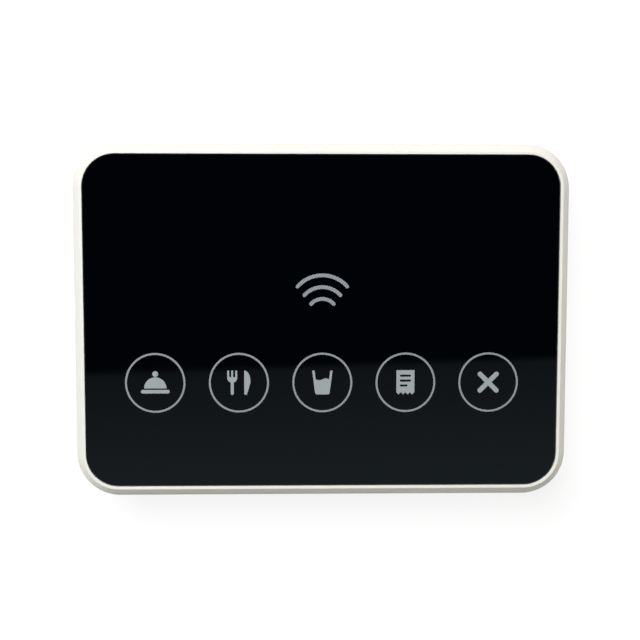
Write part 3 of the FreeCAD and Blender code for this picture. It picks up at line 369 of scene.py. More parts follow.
def printedInk(name, look):
    # silver-grey screen print; its mesh shows as fine slanting lines where the ink is thick
    film = inkFilm
    material, tree, surface = newFinish(name)
    across, along, _ = axes(tree)
    turn = math.radians(look["meshAngle"])
    ramp = plus(tree, times(tree, across, math.cos(turn)), times(tree, along, math.sin(turn)))
    phase = compute(tree, "FRACT", compute(tree, "DIVIDE", ramp, look["meshPitch"]))
    fromLine = sizeOf(tree, minus(tree, phase, 0.5))
    ridge = ease(tree, fromLine, film["ridgeFrom"], film["ridgeTo"])
    tone = toned(tree, look["colour"], film["driftSize"], film["drift"])
    grain = place(tree, fineGrain, {"Size": film["grain"]})
    lined = mixColour(tree, times(tree, ridge, look["meshDepth"]), tone, look["meshColour"])
    rough = plus(tree, look["roughness"], times(tree, grain["Mask"], film["grainRoughness"]))
    feed(tree, surface, {"Base Color": lined, "Roughness": rough,
                         "Normal": relief(tree, grain["Height"], film["depth"])})
    return material


inks = {
    "ringInk": {"colour": paint(145, 149, 153), "meshColour": paint(120, 124, 130),
                "meshDepth": 0.12, "meshPitch": 0.0005, "meshAngle": 45, "roughness": 0.5},
    "markInk": {"colour": paint(156, 163, 169), "meshColour": paint(98, 104, 108),
                "meshDepth": 0.65, "meshPitch": 0.0005, "meshAngle": -40, "roughness": 0.5},
    "signInk": {"colour": paint(157, 168, 170), "meshColour": paint(120, 126, 130),
                "meshDepth": 0.15, "meshPitch": 0.0005, "meshAngle": 45, "roughness": 0.5},
}

metalSkin = {"rubSize": 0.0008, "driftSize": 0.004, "rubTone": 0.5, "stainRoughness": 0.15,
             "stainDull": 0.3}


def bareMetal(name, look):
    skin = metalSkin
    material, tree, surface = newFinish(name)
    lines = place(tree, drawnLines, {"Size": look["lines"]})
    edge = place(tree, roundedEdge, {"Radius": look["edge"], "Breakup": skin["rubSize"]})
    tone = toned(tree, look["colour"], skin["driftSize"], look["drift"])
    stained = times(tree, lines["Mask"], look["stain"])
    dulled = mixColour(tree, stained, tone, look["stainColour"])
    rubbed = times(tree, edge["Wear"], skin["rubTone"])
    bright = mixColour(tree, rubbed, dulled, look["edgeColour"])
    rough = plus(tree, look["roughness"], times(tree, lines["Mask"], skin["stainRoughness"]))
    metallic = minus(tree, 1.0, times(tree, lines["Mask"], look["stain"] * skin["stainDull"]))
    feed(tree, surface, {"Base Color": bright, "Metallic": metallic, "Roughness": rough,
                         "Normal": relief(tree, lines["Height"], look["depth"], edge["Normal"])})
    return material


metals = {
    "screwSteel": {
        "colour": paint(196, 197, 200), "edgeColour": paint(232, 233, 235),
        "stainColour": paint(138, 134, 126), "stain": 0.25, "drift": 0.1, "roughness": 0.28,
        "lines": 0.00012, "edge": 0.00008, "depth": 0.000004},
    "springSteel": {
        "colour": paint(205, 203, 197), "edgeColour": paint(235, 234, 230),
        "stainColour": paint(150, 145, 134), "stain": 0.2, "drift": 0.1, "roughness": 0.24,
        "lines": 0.0001, "edge": 0.00003, "depth": 0.000002},
    "contactNickel": {
        "colour": paint(214, 211, 203), "edgeColour": paint(238, 237, 232),
        "stainColour": paint(160, 152, 136), "stain": 0.3, "drift": 0.1, "roughness": 0.26,
        "lines": 0.00014, "edge": 0.00006, "depth": 0.000004},
    "resonatorCan": {
        "colour": paint(210, 208, 202), "edgeColour": paint(238, 237, 233),
        "stainColour": paint(158, 152, 140), "stain": 0.2, "drift": 0.08, "roughness": 0.3,
        "lines": 0.00012, "edge": 0.0001, "depth": 0.000004},
    "switchCan": {
        "colour": paint(208, 208, 208), "edgeColour": paint(236, 236, 236),
        "stainColour": paint(150, 148, 144), "stain": 0.25, "drift": 0.08, "roughness": 0.3,
        "lines": 0.00012, "edge": 0.0001, "depth": 0.000004},
    "pinBrass": {
        "colour": paint(226, 196, 128), "edgeColour": paint(244, 224, 170),
        "stainColour": paint(150, 112, 66), "stain": 0.25, "drift": 0.1, "roughness": 0.26,
        "lines": 0.0001, "edge": 0.00005, "depth": 0.000003},
    "aerialCopper": {
        "colour": paint(214, 142, 96), "edgeColour": paint(238, 176, 132),
        "stainColour": paint(132, 74, 48), "stain": 0.35, "drift": 0.12, "roughness": 0.24,
        "lines": 0.0001, "edge": 0.00003, "depth": 0.000002},
}

rubberSkin = {"gloss": 0.35, "rubSize": 0.002, "driftSize": 0.004, "drift": 0.25,
              "bloomSize": 0.0015, "bloomDetail": 4.0, "bloomRoughness": 0.7,
              "bloomFrom": 0.5, "bloomTo": 0.75, "rubTone": 0.4, "grainRoughness": 0.12}


def softRubber(name, look):
    skin = rubberSkin
    material, tree, surface = newFinish(name, {"Specular IOR Level": skin["gloss"]})
    grain = place(tree, fineGrain, {"Size": look["grain"]})
    edge = place(tree, roundedEdge, {"Radius": look["edge"], "Breakup": skin["rubSize"]})
    tone = toned(tree, look["colour"], skin["driftSize"], skin["drift"])
    patches = cloud(tree, skin["bloomSize"], skin["bloomDetail"], skin["bloomRoughness"])
    bloom = times(tree, ease(tree, patches, skin["bloomFrom"], skin["bloomTo"]), look["bloom"])
    pale = compute(tree, "MAXIMUM", bloom, times(tree, edge["Wear"], skin["rubTone"]))
    scuffed = mixColour(tree, pale, tone, look["bloomColour"])
    rough = plus(tree, look["roughness"], times(tree, grain["Mask"], skin["grainRoughness"]))
    feed(tree, surface, {"Base Color": scuffed, "Roughness": rough,
                         "Normal": relief(tree, grain["Height"], look["depth"], edge["Normal"])})
    return material


rubbers = {
    "feetRubber": {
        "colour": paint(44, 44, 45), "bloomColour": paint(96, 95, 92), "bloom": 0.35,
        "grain": 0.0002, "depth": 0.00002, "edge": 0.00015, "roughness": 0.72},
    "adhesiveBlack": {
        "colour": paint(34, 34, 36), "bloomColour": paint(60, 60, 62), "bloom": 0.25,
        "grain": 0.00012, "depth": 0.00001, "edge": 0.00003, "roughness": 0.82},
    "leadRed": {
        "colour": paint(176, 26, 24), "bloomColour": paint(198, 74, 66), "bloom": 0.2,
        "grain": 0.0003, "depth": 0.000004, "edge": 0.00005, "roughness": 0.36},
    "leadBlack": {
        "colour": paint(30, 30, 31), "bloomColour": paint(72, 72, 72), "bloom": 0.25,
        "grain": 0.0003, "depth": 0.000004, "edge": 0.00005, "roughness": 0.36},
}


def maskedBoard(name, look):
    # green solder mask over tracks, with bare glass fibre at the cut edges
    material, tree, surface = newFinish(name, {"IOR": look["ior"]})
    across, along, _ = axes(tree)
    tracks = None
    for line, other in ((across, along), (along, across)):
        row = compute(tree, "FLOOR", compute(tree, "DIVIDE", other, look["runLength"]))
        wander = addNode(tree, "TexWhiteNoise", {"W": row}, noise_dimensions="1D")
        step = plus(tree, compute(tree, "DIVIDE", line, look["pitch"]), wander.outputs["Value"])
        fromTrack = sizeOf(tree, minus(tree, compute(tree, "FRACT", step), 0.5))
        run = compute(tree, "LESS_THAN", fromTrack, look["trackShare"])
        tracks = run if tracks is None else compute(tree, "MAXIMUM", tracks, run)
    facing = axes(tree, addNode(tree, "NewGeometry").outputs["Normal"])[2]
    onFace = compute(tree, "GREATER_THAN", sizeOf(tree, facing), 0.5)
    mask = toned(tree, look["colour"], look["driftSize"], look["drift"])
    faces = mixColour(tree, times(tree, tracks, look["trackTone"]), mask, look["trackColour"])
    weave = cloud(tree, look["weaveSize"], stretch=look["weaveStretch"])
    fibre = mixColour(tree, weave, look["fibreDark"], look["fibreLight"])
    raised = times(tree, tracks, onFace)
    feed(tree, surface, {
        "Base Color": mixColour(tree, onFace, fibre, faces),
        "Roughness": ease(tree, onFace, 0.0, 1.0, look["fibreRoughness"], look["maskRoughness"]),
        "Coat Weight": times(tree, onFace, look["coat"]),
        "Normal": relief(tree, raised, look["trackRise"])})
    return material


boardLook = {
    "colour": paint(18, 92, 52), "driftSize": 0.02, "drift": 0.15, "ior": 1.5,
    "trackColour": paint(44, 138, 78), "trackTone": 0.75, "trackRise": 0.00003,
    "pitch": 0.0036, "runLength": 0.0085, "trackShare": 0.09,
    "fibreDark": paint(128, 132, 86), "fibreLight": paint(176, 176, 122),
    "weaveSize": 0.0003, "weaveStretch": (1.0, 1.0, 4.0),
    "fibreRoughness": 0.7, "maskRoughness": 0.26, "coat": 0.3,
}


def chipBody(name, node, look):
    # black epoxy with a dimple at pin one, and tinned legs outside the body
    material, tree, surface = newFinish(name)
    low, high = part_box(node)
    middle, half = (low.y + high.y) / 2, look["bodyDepth"] / 2
    leg = compute(tree, "LESS_THAN", half, sizeOf(tree, minus(tree, axes(tree)[1], middle)))
    grain = place(tree, fineGrain, {"Size": look["grain"]})
    pinOne = (low.x + look["dimpleIn"], middle - half + look["dimpleIn"], high.z)
    away = addNode(tree, "VectorMath", {0: spot(tree), 1: pinOne}, operation="DISTANCE")
    dimple = ease(tree, away.outputs["Value"], look["dimpleRadius"],
                  look["dimpleRadius"] * look["dimpleFloor"])
    epoxy = toned(tree, look["colour"], look["driftSize"], look["drift"])
    marked = mixColour(tree, times(tree, dimple, look["dimpleTone"]), epoxy, look["dimpleColour"])
    mottle = cloud(tree, look["tinSize"], detail=3.0)
    solder = mixColour(tree, mottle, look["tinDark"], look["tin"])
    top = minus(tree, times(tree, grain["Height"], look["grainShare"]), dimple)
    feed(tree, surface, {
        "Base Color": mixColour(tree, leg, marked, solder), "Metallic": leg,
        "Roughness": ease(tree, leg, 0.0, 1.0, look["epoxyRoughness"], look["tinRoughness"]),
        "Normal": relief(tree, top, look["depth"])})
    return material


chipLook = {
    "colour": paint(36, 36, 38), "driftSize": 0.002, "drift": 0.2, "epoxyRoughness": 0.55,
    "dimpleColour": paint(74, 74, 78), "dimpleTone": 0.5, "dimpleRadius": 0.0003,
    "dimpleFloor": 0.8, "dimpleIn": 0.0007, "grain": 0.00012, "grainShare": 0.2,
    "depth": 0.00004, "tin": paint(214, 214, 212), "tinDark": paint(160, 160, 158),
    "tinSize": 0.0004, "tinRoughness": 0.3, "bodyDepth": 0.0039,
}


def chipResistor(name, look):
    # black overglaze between tinned ends; one stands beside each key, a key pitch apart
    material, tree, surface = newFinish(name)
    off = sizeOf(tree, fromNearest(tree, axes(tree)[0], look["pitch"]))
    end = compute(tree, "GREATER_THAN", off, look["bodyHalf"])
    glaze = toned(tree, look["colour"], look["driftSize"], look["drift"])
    mottle = cloud(tree, look["tinSize"], detail=3.0)
    tin = mixColour(tree, mottle, look["tinDark"], look["tin"])
    feed(tree, surface, {
        "Base Color": mixColour(tree, end, glaze, tin), "Metallic": end,
        "Roughness": ease(tree, end, 0.0, 1.0, look["glazeRoughness"], look["tinRoughness"]),
        "Normal": relief(tree, cloud(tree, look["tinSize"]), look["depth"])})
    return material


resistorLook = {
    "colour": paint(32, 32, 34), "driftSize": 0.0005, "drift": 0.3, "glazeRoughness": 0.3,
    "tin": paint(216, 216, 214), "tinDark": paint(168, 168, 166), "tinSize": 0.0002,
    "tinRoughness": 0.35, "depth": 0.00001, "pitch": 0.0185, "bodyHalf": 0.00052,
}


def lightPackage(name, node, look):
    # white moulded frame round a dish of yellow phosphor gel
    material, tree, surface = newFinish(name, {"Subsurface Weight": look["depthOfWhite"]})
    low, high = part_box(node)
    across, along, level = axes(tree)
    dx = sizeOf(tree, fromNearest(tree, across, look["pitch"]))
    dy = sizeOf(tree, minus(tree, along, (low.y + high.y) / 2))
    far = compute(tree, "MAXIMUM", compute(tree, "DIVIDE", dx, look["dishHalfLength"]),
                  compute(tree, "DIVIDE", dy, look["dishHalfWidth"]))
    atGel = compute(tree, "GREATER_THAN", level, high.z - look["gelDepth"])
    inDish = times(tree, compute(tree, "LESS_THAN", far, 1.0), atGel)
    gel = mixColour(tree, cloud(tree, look["gelSize"]), look["gel"], look["gelDeep"])
    body = toned(tree, look["colour"], look["driftSize"], look["drift"])
    feed(tree, surface, {
        "Base Color": mixColour(tree, inDish, body, gel),
        "Roughness": ease(tree, inDish, 0.0, 1.0, look["bodyRoughness"], look["gelRoughness"]),
        "Normal": relief(tree, cloud(tree, look["grain"]), look["depth"])})
    return material


lightLook = {
    "colour": paint(236, 234, 226), "driftSize": 0.002, "drift": 0.06, "depthOfWhite": 0.05,
    "bodyRoughness": 0.45, "grain": 0.0003, "depth": 0.000008,
    "gel": paint(232, 206, 96), "gelDeep": paint(214, 178, 60), "gelSize": 0.0004,
    "gelRoughness": 0.2, "gelDepth": 0.00048,
    "pitch": 0.0185, "dishHalfLength": 0.0014, "dishHalfWidth": 0.00105,
}


def canCapacitor(name, node, look):
    # aluminium can over a black base, with a dark stripe on one side of its end
    material, tree, surface = newFinish(name)
    low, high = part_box(node)
    across, _, level = axes(tree)
    base = compute(tree, "GREATER_THAN", level, high.z - look["baseHeight"])
    side = compute(tree, "LESS_THAN", across, (low.x + high.x) / 2 - look["stripeOff"])
    stripe = times(tree, side, compute(tree, "LESS_THAN", level, low.z + look["stripeBand"]))
    dark = compute(tree, "MAXIMUM", base, stripe)
    lines = place(tree, drawnLines, {"Size": look["lines"]})
    can = mixColour(tree, times(tree, lines["Mask"], look["dullTone"]), look["can"],
                    look["canDull"])
    feed(tree, surface, {
        "Base Color": mixColour(tree, dark, can, look["base"]),
        "Metallic": minus(tree, 1.0, dark),
        "Roughness": ease(tree, dark, 0.0, 1.0, look["canRoughness"], look["baseRoughness"]),
        "Normal": relief(tree, lines["Height"], look["depth"])})
    return material


capacitorLook = {
    "can": paint(216, 217, 219), "canDull": paint(180, 181, 184), "dullTone": 0.3,
    "canRoughness": 0.28, "base": paint(30, 30, 32), "baseRoughness": 0.5,
    "baseHeight": 0.0006, "stripeOff": 0.0009, "stripeBand": 0.0006,
    "lines": 0.00015, "depth": 0.000006,
}


def cellSleeve(name, node, look):
    # printed foil sleeve in two plain colours, with bare steel at both ends
    material, tree, surface = newFinish(name)
    low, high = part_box(node)
    across, _, _ = axes(tree)
    fromCentre = sizeOf(tree, minus(tree, across, (low.x + high.x) / 2))
    steel = compute(tree, "GREATER_THAN", fromCentre, (high.x - low.x) / 2 - look["endLength"])
    band = compute(tree, "GREATER_THAN", sizeOf(tree, across), look["bandFrom"])
    lines = place(tree, drawnLines, {"Size": look["lines"]})
    foil = mixColour(tree, band, look["sleeve"], look["band"])
    foil = toned(tree, foil, look["driftSize"], look["drift"])
    feed(tree, surface, {
        "Base Color": mixColour(tree, steel, foil, look["steel"]),
        "Metallic": ease(tree, steel, 0.0, 1.0, look["foilMetal"], 1.0),
        "Roughness": plus(tree, look["roughness"],
                          times(tree, lines["Mask"], look["lineRoughness"])),
        "Normal": relief(tree, lines["Height"], look["depth"])})
    return material


cellLook = {
    "sleeve": paint(62, 84, 118), "band": paint(196, 160, 96), "steel": paint(206, 206, 204),
    "endLength": 0.0013, "bandFrom": 0.0155, "driftSize": 0.01, "drift": 0.12,
    "foilMetal": 0.55, "roughness": 0.26, "lines": 0.0003, "lineRoughness": 0.12,
    "depth": 0.000006,
}

finishes = {}
for makeFinish, looks in ((mouldedPlastic, plastics), (printedInk, inks), (bareMetal, metals),
                          (softRubber, rubbers)):
    for name, look in looks.items():
        finishes[name] = makeFinish(name, look)
finishes["panelBlack"] = panelGlass("panelBlack", panelLook)
finishes["boardGreen"] = maskedBoard("boardGreen", boardLook)
finishes["resistorBlack"] = chipResistor("resistorBlack", resistorLook)
finishes["lightWhite"] = lightPackage("lightWhite", "key_lights", lightLook)
finishes["signalWhite"] = lightPackage("signalWhite", "signal_light", lightLook)
finishes["capacitorCan"] = canCapacitor("capacitorCan", "capacitor", capacitorLook)
finishes["cellJacket"] = cellSleeve("cellJacket", "battery_cells", cellLook)
for chip in ("touch_chip", "control_chip", "transmitter_chip"):
    finishes[chip] = chipBody(chip + "Epoxy", chip, chipLook)
print("finishes ready:", len(finishes))

nodeFinishes = {
    "front_panel": "panelBlack", "panel_adhesive": "adhesiveBlack", "key_rings": "ringInk",
    "signal_mark": "markInk", "front_case": "caseWhite", "rear_cover": "coverWhite",
    "battery_door": "doorWhite", "rubber_feet": "feetRubber", "case_screws": "screwSteel",
    "circuit_board": "boardGreen", "board_screws": "screwSteel", "touch_springs": "springSteel",
    "key_lights": "lightWhite", "signal_light": "signalWhite", "touch_chip": "touch_chip",
    "control_chip": "control_chip", "series_resistors": "resistorBlack",
    "capacitor": "capacitorCan", "buzzer": "buzzerBlack", "transmitter_board": "boardGreen",
    "transmitter_header": "pinBrass", "transmitter_resonator": "resonatorCan",
    "transmitter_chip": "transmitter_chip", "aerial_coil": "aerialCopper",
    "pair_switch": "switchBlack", "pair_switch_plunger": "plungerBlack",
    "pair_button": "buttonGrey", "power_switch": "switchCan", "power_switch_knob": "knobBlack",
    "battery_cells": "cellJacket", "positive_contact": "contactNickel",
    "negative_contact": "contactNickel", "bridge_contact": "contactNickel",
    "positive_lead": "leadRed", "negative_lead": "leadBlack",
}
for node, finish in nodeFinishes.items():
    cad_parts[node].material_slots[0].material = finishes[finish]
print("nodes dressed:", len(nodeFinishes))


# outlines of the signs printed inside the rings

def arcOf(centre, radius, start, end, steps=16):
    turns = [math.radians(start + (end - start) * step / steps) for step in range(steps + 1)]
    return [(centre[0] + radius * math.cos(turn), centre[1] + radius * math.sin(turn))
            for turn in turns]


def discAt(centre, radius, steps=28):
    return arcOf(centre, radius, 0, 360 - 360 / steps, steps - 1)


def roundBar(centre, length, thickness):
    reach = (length - thickness) / 2
    return (arcOf((centre[0] + reach, centre[1]), thickness / 2, -90, 90)
            + arcOf((centre[0] - reach, centre[1]), thickness / 2, 90, 270))


def bellSign(look):
    # a counter bell: knob, dome and base
    dome = arcOf((0, look["domeBase"]), look["domeRadius"], 0, 180, steps=32)
    base = roundBar((0, look["baseLevel"]), look["baseLength"], look["baseThickness"])
    return [[dome], [base], [discAt((0, look["knobLevel"]), look["knobRadius"])]]


def cutlerySign(look):
    # a fork and a knife, upright and side by side
    handle, neck, foot, top = look["handle"] / 2, look["neck"], look["foot"], look["top"]
    tine = look["forkWidth"] / (2 * look["tines"] - 1)
    half = look["forkWidth"] / 2
    root = look["tineRoot"]
    grip = arcOf((0, foot + handle), handle, 0, -180, steps=10)
    teeth = []
    for index in range(look["tines"]):
        left = 2 * index * tine - half
        teeth += [(left, root), (left, top), (left + tine, top), (left + tine, root)]
    bowl = arcOf((0, look["shoulder"]), half, 0, -look["bowlTurn"], steps=8)
    otherBowl = [(-x, y) for x, y in reversed(bowl)]
    fork = teeth + bowl + [(handle, neck)] + grip + [(-handle, neck)] + otherBowl
    width, shoulder = look["bladeWidth"], look["bladeShoulder"]
    tip = [(x * width - handle, shoulder + y * (top - shoulder))
           for x, y in arcOf((0, 0), 1.0, 0, 90, steps=9)]
    knife = [(width - handle, neck)] + tip + grip[::-1]
    return [[[(x - look["spread"], y) for x, y in fork]],
            [[(x + look["spread"], y) for x, y in knife]]]


def glassSign(look):
    # a tumbler, filled up to a wavy level
    top, bottom, height = look["topHalf"], look["bottomHalf"], look["height"] / 2
    wall, corner, level, steps = look["wall"], look["corner"], look["level"], look["waveSteps"]
    lean = (top - bottom) / (2 * height)
    innerTop = top - wall
    innerLevel = bottom + lean * (level + height) - wall
    wave = [(innerLevel - 2 * innerLevel * step / steps,
             level + look["wave"] * math.sin(math.tau * step / steps))
            for step in range(steps + 1)]
    base = (arcOf((corner - bottom, corner - height), corner, 180, 270, steps=6)
            + arcOf((bottom - corner, corner - height), corner, 270, 360, steps=6))
    return [[[(-top, height)] + base + [(top, height), (innerTop, height)] + wave
             + [(-innerTop, height)]]]


def receiptSign(look):
    # a bill with a torn edge and three printed lines
    half, height, teeth = look["width"] / 2, look["height"] / 2, look["teeth"]
    step = look["width"] / (2 * teeth)
    torn = [(-half + index * step, -height + (look["toothDepth"] if index % 2 == 0 else 0))
            for index in range(2 * teeth + 1)]
    lines = [roundBar((shift, level), length, look["lineThickness"])
             for shift, level, length in look["lines"]]
    return [[torn + [(half, height), (-half, height)]] + lines]


def crossSign(look):
    # a saltire with round ends
    half = look["thickness"] / 2
    inner = half * math.sqrt(2)
    outline = []
    for start in range(0, 360, 90):
        tipTurn, innerTurn = math.radians(start + 45), math.radians(start + 90)
        tip = (look["reach"] * math.cos(tipTurn), look["reach"] * math.sin(tipTurn))
        outline += arcOf(tip, half, start - 45, start + 135, steps=10)
        outline.append((inner * math.cos(innerTurn), inner * math.sin(innerTurn)))
    return [[outline]]


signs = {
    "bell_sign": (bellSign, {
        "domeBase": -0.95, "domeRadius": 1.9, "baseLevel": -1.5, "baseLength": 4.9,
        "baseThickness": 0.62, "knobLevel": 1.52, "knobRadius": 0.5}),
    "cutlery_sign": (cutlerySign, {
        "handle": 0.52, "neck": 0.0, "foot": -2.1, "top": 2.1, "forkWidth": 1.7, "tines": 3,
        "tineRoot": 0.95, "shoulder": 0.85, "bowlTurn": 60, "bladeWidth": 1.05,
        "bladeShoulder": 0.4, "spread": 1.15}),
    "glass_sign": (glassSign, {
        "topHalf": 1.75, "bottomHalf": 1.25, "wall": 0.42, "height": 4.1, "corner": 0.35,
        "level": 0.55, "wave": 0.16, "waveSteps": 24}),
    "receipt_sign": (receiptSign, {
        "width": 3.1, "height": 4.2, "teeth": 4, "toothDepth": 0.4, "lineThickness": 0.36,
        "lines": ((0.0, 1.15, 1.9), (0.0, 0.3, 1.9), (-0.3, -0.55, 1.3))}),
    "cross_sign": (crossSign, {"thickness": 0.82, "reach": 2.0}),
}


def flatPiece(name, shapes, centre, low, high, look):
    # a plate of even thickness; each of its shapes is an outline and its holes
    scale = look["size"] * mm
    bm = bmesh.new()
    for loops in shapes:
        rims = []
        for loop in loops:
            spots = [(centre[0] + x * scale, centre[1] + y * scale) for x, y in loop]
            lower = [bm.verts.new((x, y, low)) for x, y in spots]
            upper = [bm.verts.new((x, y, high)) for x, y in spots]
            rims.append((lower, upper))
            for index in range(len(loop)):
                after = (index + 1) % len(loop)
                bm.faces.new((lower[index], lower[after], upper[after], upper[index]))
        flat = tessellate_polygon([[Vector((x, y, 0)) for x, y in loop] for loop in loops])
        for side in (0, 1):
            corners = [vert for rim in rims for vert in rim[side]]
            for triangle in flat:
                bm.faces.new([corners[index] for index in triangle])
    bmesh.ops.recalc_face_normals(bm, faces=bm.faces)
    mesh = bpy.data.meshes.new(name)
    bm.to_mesh(mesh)
    bm.free()
    piece = bpy.data.objects.new(name, mesh)
    bpy.context.scene.collection.objects.link(piece)
    piece.data.materials.append(finishes[look["finish"]])
    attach(piece, look["body"])


# print on the panel, as thick as the rings
signPrint = {"size": 1.3, "finish": "signInk", "slot": "print_grey", "body": "case"}

ringLow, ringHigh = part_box("key_rings")
ringSize = ringHigh.y - ringLow.y
keyPitch = (ringHigh.x - ringLow.x - ringSize) / (len(signs) - 1)
for index, (name, (draw, look)) in enumerate(signs.items()):
    centre = (ringLow.x + ringSize / 2 + keyPitch * index, (ringLow.y + ringHigh.y) / 2)
    flatPiece(name, draw(look), centre, ringLow.z, ringHigh.z, signPrint)
print("signs printed:", len(signs))


# underside print: which way the door slides, and off and on beside the switch
doorArrow = {
    "size": 1.15, "finish": "signInk", "slot": "print_grey", "body": "battery_door",
    "proud": 0.00004, "sunk": 0.00002, "length": 7.0, "shaftWidth": 1.1, "headWidth": 4.2,
    "headLength": 3.0, "fromGroovedEnd": 17.5,
}
switchMarks = {
    "size": 1.15, "finish": "signInk", "slot": "print_grey", "body": "case",
    "proud": 0.00004, "sunk": 0.00002, "apart": 4.4, "fromSwitch": 4.7,
    "ringRadius": 0.8, "stroke": 0.32, "barHeight": 1.7,
}


def arrowOutline(look):
    shaft, head, tip = look["shaftWidth"] / 2, look["headWidth"] / 2, look["length"] / 2
    neck = tip - look["headLength"]
    return [[[(-shaft, -tip), (shaft, -tip), (shaft, neck), (head, neck), (0, tip),
              (-head, neck), (-shaft, neck)]]]


def offOutline(look):
    half = look["stroke"] / 2
    return [[discAt((0, 0), look["ringRadius"] + half),
             discAt((0, 0), look["ringRadius"] - half)]]


def onOutline(look):
    half, tip = look["stroke"] / 2, look["barHeight"] / 2
    return [[[(-half, -tip), (half, -tip), (half, tip), (-half, tip)]]]


doorLow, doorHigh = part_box("battery_door")
switchLow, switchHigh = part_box("power_switch")
underside = doorLow.z


def printUnder(name, shapes, centre, look):
    flatPiece(name, shapes, centre, underside - look["proud"], underside + look["sunk"], look)


printUnder("door_arrow", arrowOutline(doorArrow),
           ((doorLow.x + doorHigh.x) / 2, doorHigh.y - doorArrow["fromGroovedEnd"] * mm),
           doorArrow)
for name, draw, side in (("off_mark", offOutline, -1), ("on_mark", onOutline, 1)):
    centre = ((switchLow.x + switchHigh.x) / 2 + side * switchMarks["apart"] / 2 * mm,
              (switchLow.y + switchHigh.y) / 2 + switchMarks["fromSwitch"] * mm)
    printUnder(name, draw(switchMarks), centre, switchMarks)
print("underside printed")


# floor, light and camera

# paper floor: it bounces as a mid grey, painted darker in front as painted shade, and shows as
# white with a faint shadow, partly cast and partly a painted shadow close to the part
floorLook = {
    "radius": 6.0, "sides": 96, "colour": paint(170, 165, 156), "driftSize": 0.4, "drift": 0.01,
    "paintedShadeColour": paint(96, 86, 76), "frontFrom": -0.035, "frontTo": -0.06,
    "shadowed": (0.2, 0.2, 0.2, 1.0), "glow": 0.84, "glowNear": 0.15, "glowFar": 0.7,
    "paintedShadowReach": 0.003, "paintedShadowDepth": 0.35,
}


def makeFloor(look):
    bpy.ops.mesh.primitive_circle_add(
        vertices=look["sides"], radius=look["radius"], fill_type="NGON")
    floor = bpy.context.object
    floor.name = "floor"
    floor.visible_shadow = False            # light from below reaches the underside
    material = bpy.data.materials.new("floorPaper")
    material.use_nodes = True
    tree = material.node_tree
    tree.nodes.clear()
    paperTone = toned(tree, look["colour"], look["driftSize"], look["drift"])
    # painted shade: the paper is painted darker in front of the part, so less light bounces onto
    # the front of the case
    front = ease(tree, axes(tree)[1], look["frontFrom"], look["frontTo"])
    tone = mixColour(tree, front, paperTone, look["paintedShadeColour"])
    path = addNode(tree, "LightPath").outputs
    mirrored = compute(tree, "MAXIMUM", path["Is Glossy Ray"], path["Is Transmission Ray"])
    backdrop = compute(tree, "MAXIMUM", path["Is Camera Ray"], mirrored)
    shade = mixColour(tree, backdrop, tone, look["shadowed"])
    paper = addNode(tree, "BsdfDiffuse", {"Color": shade})
    reach = addNode(tree, "VectorMath", {0: spot(tree)}, operation="LENGTH").outputs["Value"]
    level = ease(tree, reach, look["glowNear"], look["glowFar"], look["glow"], 1.0)
    # painted shadow: occlusion paints the glow darker close to the part, besides the shadow the
    # lamps cast
    contact = addNode(tree, "AmbientOcclusion", {"Distance": look["paintedShadowReach"]})
    clearOfPaintedShadow = ease(tree, contact.outputs["AO"], 0.0, 1.0, 1.0 - look["paintedShadowDepth"], 1.0)
    strength = times(tree, backdrop, times(tree, level, clearOfPaintedShadow))
    glow = addNode(tree, "Emission", {"Strength": strength})
    lit = addNode(tree, "AddShader", {0: paper.outputs[0], 1: glow.outputs[0]})
    clear = addNode(tree, "BsdfTransparent")
    below = addNode(tree, "NewGeometry").outputs["Backfacing"]
    oneSided = addNode(tree, "MixShader", {0: below, 1: lit.outputs[0], 2: clear.outputs[0]})
    addNode(tree, "OutputMaterial", {"Surface": oneSided.outputs[0]})
    floor.data.materials.append(material)


# the key lamp stands above, behind and to the left; a broad one below reaches the underside
keyLamp = {"side": (-0.34, 0.54, 1.0), "distance": 0.95, "width": 0.5, "power": 9.5}
underLamp = {"side": (0.3, -0.32, -1.0), "distance": 1.0, "strength": 2.5, "angle": 60}


def makeLamp(name, kind, look, **settings):
    # a lamp that stands off from the part on that side and shines at it
    lamp = bpy.data.lights.new(name, kind)
    for setting, level in settings.items():
        setattr(lamp, setting, level)
    holder = bpy.data.objects.new(name, lamp)
    holder.location = Vector(look["side"]).normalized() * look["distance"]
    holder.rotation_euler = Vector(look["side"]).to_track_quat("Z", "Y").to_euler()
    bpy.context.scene.collection.objects.link(holder)


# dark room whose grey wall is mirrored in the panel: the wall's edge, and how its grey grows
# away from the edge, are slopes over height; low down the room is warm, brighter to the right
roomLook = {
    "wallEdge": -0.1206, "wallTilt": 0.0327, "edgeSoftness": 0.006, "wallStart": 0.14,
    "wallGrowth": 1.18, "wallMost": 0.34, "wallColour": (0.79, 1.0, 1.07),
    "farColour": (0.003, 0.003, 0.004, 1.0), "leastHeight": 0.05,
    "sideColour": (1.12, 1.0, 0.8), "sidesAbove": 0.88, "sidesBelow": 0.6, "sideLevel": 0.16,
    "rightLevel": 0.26, "rightFrom": 0.2, "rightTo": 0.9, "frontShade": 0.8, "frontTo": -0.8,
    "backdrop": (1.0, 1.0, 1.0, 1.0),
    "underLevel": 1.2,                      # reaches the underside, as the floor casts no shadow
}


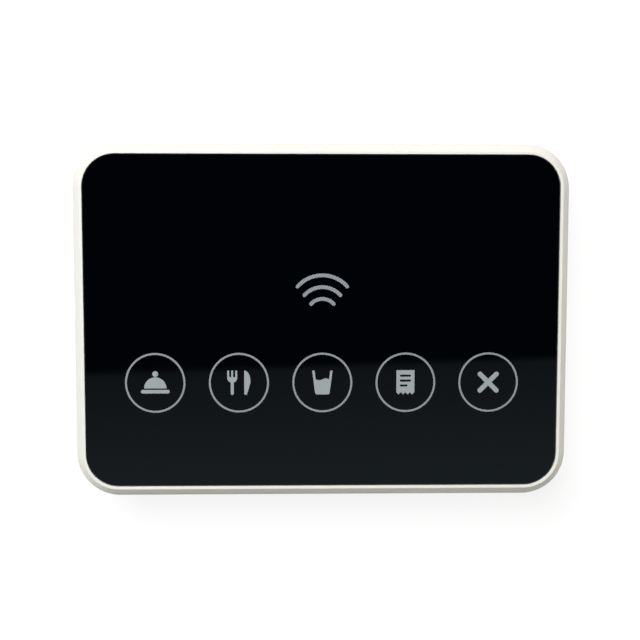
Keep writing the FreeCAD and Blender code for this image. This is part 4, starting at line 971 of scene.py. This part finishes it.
def makeWorld(look):
    world = bpy.data.worlds.new("studioRoom")
    world.use_nodes = True
    bpy.context.scene.world = world
    tree = world.node_tree
    tree.nodes.clear()
    across, along, height = axes(tree, addNode(tree, "TexCoord").outputs["Generated"])
    lift = compute(tree, "MAXIMUM", height, look["leastHeight"])
    slopeX = compute(tree, "DIVIDE", across, lift)
    slopeY = compute(tree, "DIVIDE", along, lift)
    edge = plus(tree, times(tree, slopeX, look["wallTilt"]), look["wallEdge"])
    past = minus(tree, edge, slopeY)                  # how far beyond the wall's edge
    shown = ease(tree, past, -look["edgeSoftness"], look["edgeSoftness"])
    level = plus(tree, look["wallStart"], times(tree, past, look["wallGrowth"]))
    level = times(tree, compute(tree, "MINIMUM", level, look["wallMost"]), shown)
    wall = brighten(tree, look["wallColour"], level)
    overhead = mixColour(tree, shown, look["farColour"], wall)
    fill = ease(tree, across, look["rightFrom"], look["rightTo"], 0.0, look["rightLevel"])
    shade = ease(tree, along, 0.0, look["frontTo"], 1.0, 1.0 - look["frontShade"])
    fill = times(tree, plus(tree, look["sideLevel"], fill), shade)
    sides = brighten(tree, look["sideColour"], fill)
    low = ease(tree, height, look["sidesAbove"], look["sidesBelow"])
    room = mixColour(tree, low, overhead, sides)
    under = tuple(channel * look["underLevel"] for channel in look["sideColour"]) + (1.0,)
    room = mixColour(tree, compute(tree, "LESS_THAN", height, 0.0), room, under)
    path = addNode(tree, "LightPath").outputs
    backdrop = compute(tree, "MAXIMUM", path["Is Camera Ray"], path["Is Transmission Ray"])
    seen = mixColour(tree, backdrop, room, look["backdrop"])
    sky = addNode(tree, "Background", {"Color": seen, "Strength": 1.0})
    addNode(tree, "OutputWorld", {"Surface": sky.outputs[0]})


cameraLook = {"place": (-0.00528, 0.01555, 0.22672), "turn": (-4.14, -1.30, 0.04),
              "lens": 53.27, "sensor": 36.0, "nearest": 0.01}


def makeCamera(look):
    camera = bpy.data.cameras.new("camera")
    camera.lens = look["lens"]
    camera.sensor_width = look["sensor"]
    camera.clip_start = look["nearest"]
    holder = bpy.data.objects.new("camera", camera)
    holder.location = look["place"]
    holder.rotation_euler = Euler([math.radians(turn) for turn in look["turn"]])
    bpy.context.scene.collection.objects.link(holder)
    bpy.context.scene.camera = holder


makeFloor(floorLook)
makeLamp("keyLight", "AREA", keyLamp, energy=keyLamp["power"], size=keyLamp["width"])
makeLamp("underLight", "SUN", underLamp, energy=underLamp["strength"],
         angle=math.radians(underLamp["angle"]))
makeWorld(roomLook)
makeCamera(cameraLook)
bpy.context.scene.view_settings.view_transform = "Standard"
print("floor, light and camera set")
